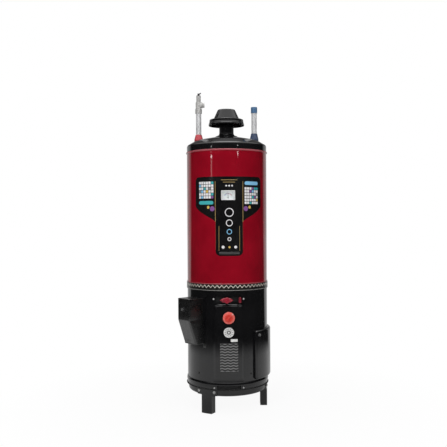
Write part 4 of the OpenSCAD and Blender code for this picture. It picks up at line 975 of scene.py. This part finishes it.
def base_trim():
    """Near-black half-round seal between the base ring and the pan, painted shade for the joint, and a dark wire
    screen behind the air slot, painted shade for its inside.
    """
    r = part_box("base_ring")[1][0]
    seal = [(r + out * MM, Z_LOW + up * MM)
            for out, up in ((-1.5, -2.8), (0.9, -2.4), (1.2, 0), (0.9, 2.4), (-1.5, 2.8))]
    # Near-black seal: painted shade for the joint line between ring and pan.
    matt = moulded("seal_shade_rubber", grey(0.0025), grey(0.005), (0.7, 0.9))
    piece("pan_seal", [turned(rounded(seal, 0.8 * MM, 4), 192)], matt, node="base_pan")
    # Dark screen behind the air slot: painted shade for the slot's inside.
    wide = np.linspace(-SCREEN_HALF, SCREEN_HALF, 45)
    tall = np.linspace(Z_LOW + 1 * MM, Z_LOW + 21 * MM, 9)[:, None]
    piece("air_slot_shade", [polar(wide, JACKET_R - 5 * MM, tall)], shade_screen_finish(), node="base_ring")


def shade_screen_finish():
    """Near-black woven wire, two sets of fine threads crossing: painted shade for the inside of the air slot."""
    f = Finish("shade_wire_screen")
    x, _, z = f.split(f.place)
    wire = f.most(*(f.fade(f.math("PINGPONG", place, 1 * MM), 0.3 * MM, 0.5 * MM) for place in (x, z)))
    f.set(Base_Color=f.blend(wire, grey(0.001), grey(0.02)), Roughness=0.8)
    f.bump(wire, 0.3, 0.5 * MM)
    return f.material


# Burner door and its hinge knuckles
DOOR_FROM, DOOR_TO = radians(38), radians(112)
DOOR_PROUD, DOOR_ROLL, DOOR_RIM = mm(16, 9, 12)
PIVOT_TURN = radians(115.5)
PIVOT_R, PIN_R, KNUCKLE_R, KNUCKLE_H, KNUCKLE_GAP = mm(208, 3.05, 5.5, 30, 0.6)


def curved_door():
    """Door pan bent round the jacket: upright edge, broad rolled rim, flat face, inner side."""
    z0, z1 = heights("burner_door")
    middle, centre, steps, clear = (DOOR_FROM + DOOR_TO) / 2, (z0 + z1) / 2, 48, 0.4 * MM
    half_w, half_h = (DOOR_TO - DOOR_FROM) / 2 * JACKET_R, (z1 - z0) / 2
    bend = DOOR_PROUD - DOOR_ROLL
    outside = [(0, clear)] + quarter(bend, DOOR_ROLL, 8) + [(DOOR_RIM, DOOR_PROUD)]
    inside = [(DOOR_RIM, DOOR_PROUD - SHEET)]
    inside += [(inset + SHEET, lift) for inset, lift in quarter(bend, DOOR_ROLL - SHEET, 8)[::-1]]
    inside += [(SHEET, clear), (0, clear)]
    face = even_face(half_w - DOOR_RIM, half_h - DOOR_RIM, steps)
    grids = []
    for path, level, order in ((outside, DOOR_PROUD, 1), (inside, DOOR_PROUD - SHEET, -1)):
        flat, lift = pressed(half_w, half_h, DOOR_RIM, path, 8, steps)
        grids += [wrapped(part, JACKET_R + rise, middle, centre)
                  for part, rise in ((flat, lift), (face[:, ::order], level))]
    ring = rounded([(PIN_R, 0), (KNUCKLE_R, 0), (KNUCKLE_R, KNUCKLE_H), (PIN_R, KNUCKLE_H),
                    (PIN_R, 0)], 0.5 * MM, 3)
    tab_from = PIVOT_TURN - (PIVOT_TURN - DOOR_TO) * PIVOT_R / JACKET_R - 0.004
    for k in (-1, 1):
        foot = centre + k * (KNUCKLE_H + KNUCKLE_GAP) - KNUCKLE_H / 2
        grids += [turned(ring, 32, polar(PIVOT_TURN, PIVOT_R, foot)),
                  slab(tab_from, PIVOT_TURN, PIVOT_R + 0.2 * MM, PIVOT_R + KNUCKLE_R,
                       foot, foot + KNUCKLE_H)]
    piece("curved_door", grids, replaces=("burner_door",))


# Thermometer
DIAL_SPAN = radians(56)
DIAL_PITCH = radians(5.5)


def gauge_frame():
    """Pressed frame round the dial: rolled outer edge, flat land and a bevel down to the lens."""
    roll, floor, front = 1.5 * MM, -12 * MM, GAUGE_LOW[1]
    path = [(0, -8 * MM), (0, -roll)] + quarter(-roll, roll)
    path += [(3.6 * MM, 0), (4.2 * MM, -0.3 * MM), (5.6 * MM, -1.6 * MM), (5.6 * MM, floor),
             (GAUGE_HALF_H, floor)]
    rim = tilted(pressed(GAUGE_HALF_W, GAUGE_HALF_H, 3 * MM, path, 5, 12), (0, front, Z_GAUGE))
    stem = turned([(5 * MM, 0), (5 * MM, 20 * MM)], 24, (0, front - floor, Z_GAUGE), (0, 1, 0), (1, 0, 0))
    piece("gauge_frame", [rim, stem], replaces=("thermometer_case",))


def dial_finish():
    """Pale card with an arc of ticks about the needle's pivot and a line from blue to red."""
    f = Finish("dial_scale")
    x, _, z = f.split(f.place)
    up = f.minus(z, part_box("thermometer_needle")[0][2] + 3 * MM)
    radius, turn = f.length(x, up), f.math("ARCTAN2", x, up)
    span = f.fade(f.math("ABSOLUTE", turn), DIAL_SPAN, DIAL_SPAN + radians(1))
    tick = f.fade(f.math("PINGPONG", turn, DIAL_PITCH), 0.02, 0.035)
    band = f.fade(f.gap(radius, 23 * MM), 1.6 * MM, 1.8 * MM)
    line = f.fade(f.gap(radius, 19.5 * MM), 0.9 * MM, 1.1 * MM)
    heat = f.blend(f.ramp(turn, -0.9, 0.9), (0.05, 0.16, 0.5), (0.6, 0.04, 0.03))
    card = f.cloudy(80, 3, (0.7, 0.7, 0.68), (0.78, 0.78, 0.75))
    ticked = f.blend(f.times(f.times(tick, band), span), card, grey(0.02))
    f.set(Base_Color=f.blend(f.times(line, span), ticked, heat), Roughness=0.5)
    f.grain(600, 2, 0.04, 0.2 * MM)
    return f.material


# Stage and light
FLOOR_HALF = 30.0
FLOOR_BEHIND = 0.3
DARK_ROOM = 0.02
WALL_LIGHT = 0.62
CEILING_LIGHT = 1.5
STRIP_LIGHT = 6.0


def stage_floor():
    """Pale floor: shadowed near the heater, plain white further off; to mirrors a painted shadow near the heater,
    dimmer behind it and dark further off.
    """
    mesh = bpy.data.meshes.new("floor")
    side = FLOOR_HALF
    mesh.from_pydata([(-side, -side, 0), (side, -side, 0), (side, side, 0), (-side, side, 0)], [],
                     [(0, 1, 2, 3)])
    floor = add_object("floor", mesh)
    f = Finish("pale_floor")
    f.tree.nodes.remove(f.shader)
    path = f.node("LightPath").outputs
    mirrored = path["Is Glossy Ray"]
    away = f.node("VectorMath", {"operation": "LENGTH"}, i0=f.place).outputs["Value"]
    plain = f.times(f.seen(path), f.ramp(away, 0.3, 1.2, 0.93, 1.0))
    # To mirrors: painted shadow near the heater, dark beyond about 1.5 m.
    dim = f.most(f.ramp(away, 1.5, 1.95, 0.1, 0.97), f.ramp(away, 0.3, 0.9, 0.45, 0.1))
    x, y, _ = f.split(f.place)
    wedge = f.minus(y, f.times(f.math("ABSOLUTE", x), 0.8))
    behind = f.ramp(wedge, 0.05, 0.3)
    dim = f.math("ADD", f.times(dim, f.minus(1.0, behind)), f.times(behind, FLOOR_BEHIND))
    matt = f.node("BsdfDiffuse", Color=grey(0.86)).outputs[0]
    glow = f.node("Emission", Strength=f.minus(1.0, f.times(mirrored, dim)))
    mixed = f.node("MixShader", i0=f.most(plain, mirrored), i1=matt, i2=glow.outputs[0])
    f.put(f.tree.nodes["Material Output"].inputs[0], mixed.outputs[0])
    mesh.materials.append(f.material)


def studio():
    """White to the camera; mirrors see a dark room, a white wall behind and a light ceiling."""
    world = bpy.data.worlds.new("studio")
    world.use_nodes = True
    bpy.context.scene.world = world
    s = Nodes(world.node_tree)
    s.tree.nodes.clear()
    path = s.node("LightPath").outputs
    _, y, z = s.split(s.node("TexCoord").outputs["Generated"])
    wall = s.times(s.ramp(y, 0.56, 0.7, 0.0, WALL_LIGHT), s.ramp(z, 0.14, 0.3, 1.0, 0.2))
    ceiling = s.times(s.ramp(z, 0.42, 0.6, 0.0, CEILING_LIGHT), s.ramp(y, 0.2, 0.7, 1.0, 0.06))
    strip = s.times(s.ramp(z, 0.9, 0.95, 0.0, STRIP_LIGHT), s.fade(y, 0.3, 0.5))
    room = s.most(wall, s.most(ceiling, strip))
    strengths = s.math("ADD", room, DARK_ROOM), s.ramp(y, -0.5, 0.5, 0.36, 0.06), 1.0
    mirror, soft, white = (s.node("Background", Color=grey(1), Strength=strength).outputs[0]
                           for strength in strengths)
    shiny = s.node("MixShader", i0=path["Is Glossy Ray"], i1=soft, i2=mirror).outputs[0]
    whole = s.node("MixShader", i0=s.seen(path), i1=shiny, i2=white).outputs[0]
    s.node("OutputWorld", Surface=whole)


def lamp(name, turn, distance, height, target_z, width, tall, power, glossy=True):
    """Area lamp at an angle from the front, aimed at the tank's axis; mirrors see it if glossy."""
    data = bpy.data.lights.new(name, "AREA")
    data.shape = "RECTANGLE"
    data.size, data.size_y, data.energy = width, tall, power
    made = add_object(name, data)
    a = radians(turn)
    made.location = (distance * sin(a), -distance * cos(a), height)
    made.rotation_euler = (pi / 2 - atan2(height - target_z, distance), 0, a)
    made.visible_glossy = glossy


def lights():
    """Two small lamps and a dim strip for the glints, two broad soft ones, one overhead, one behind."""
    lamp("left_glint", -44, 2.5, 1.455, 1.24, 0.16, 0.022, 0.16)
    lamp("left_strip", -44, 2.5, 1.36, 1.2, 0.15, 0.14, 0.14)
    lamp("right_glint", 29, 2.5, 1.48, 1.24, 0.16, 0.022, 0.16)
    lamp("left_soft", -24, 3.0, 1.9, 0.8, 1.4, 1.6, 40, False)
    lamp("right_soft", 22, 3.0, 1.7, 0.8, 1.4, 1.6, 21, False)
    lamp("overhead", 0, 0.9, 3.2, 0.9, 1.8, 1.8, 25, False)
    lamp("back_soft", 180, 3.0, 1.8, 0.8, 1.6, 1.6, 26, False)


place_camera()
dress_solids()
red_jacket()
front_print()
zigzag_band()
cone_top()
flared_neck()
hat_hood()
front_panel()
panel_labels()
red_knob()
winged_lever()
pilot_push()
igniter_housing()
base_trim()
curved_door()
gauge_frame()
stage_floor()
studio()
lights()
bpy.context.scene.view_settings.view_transform = "Standard"
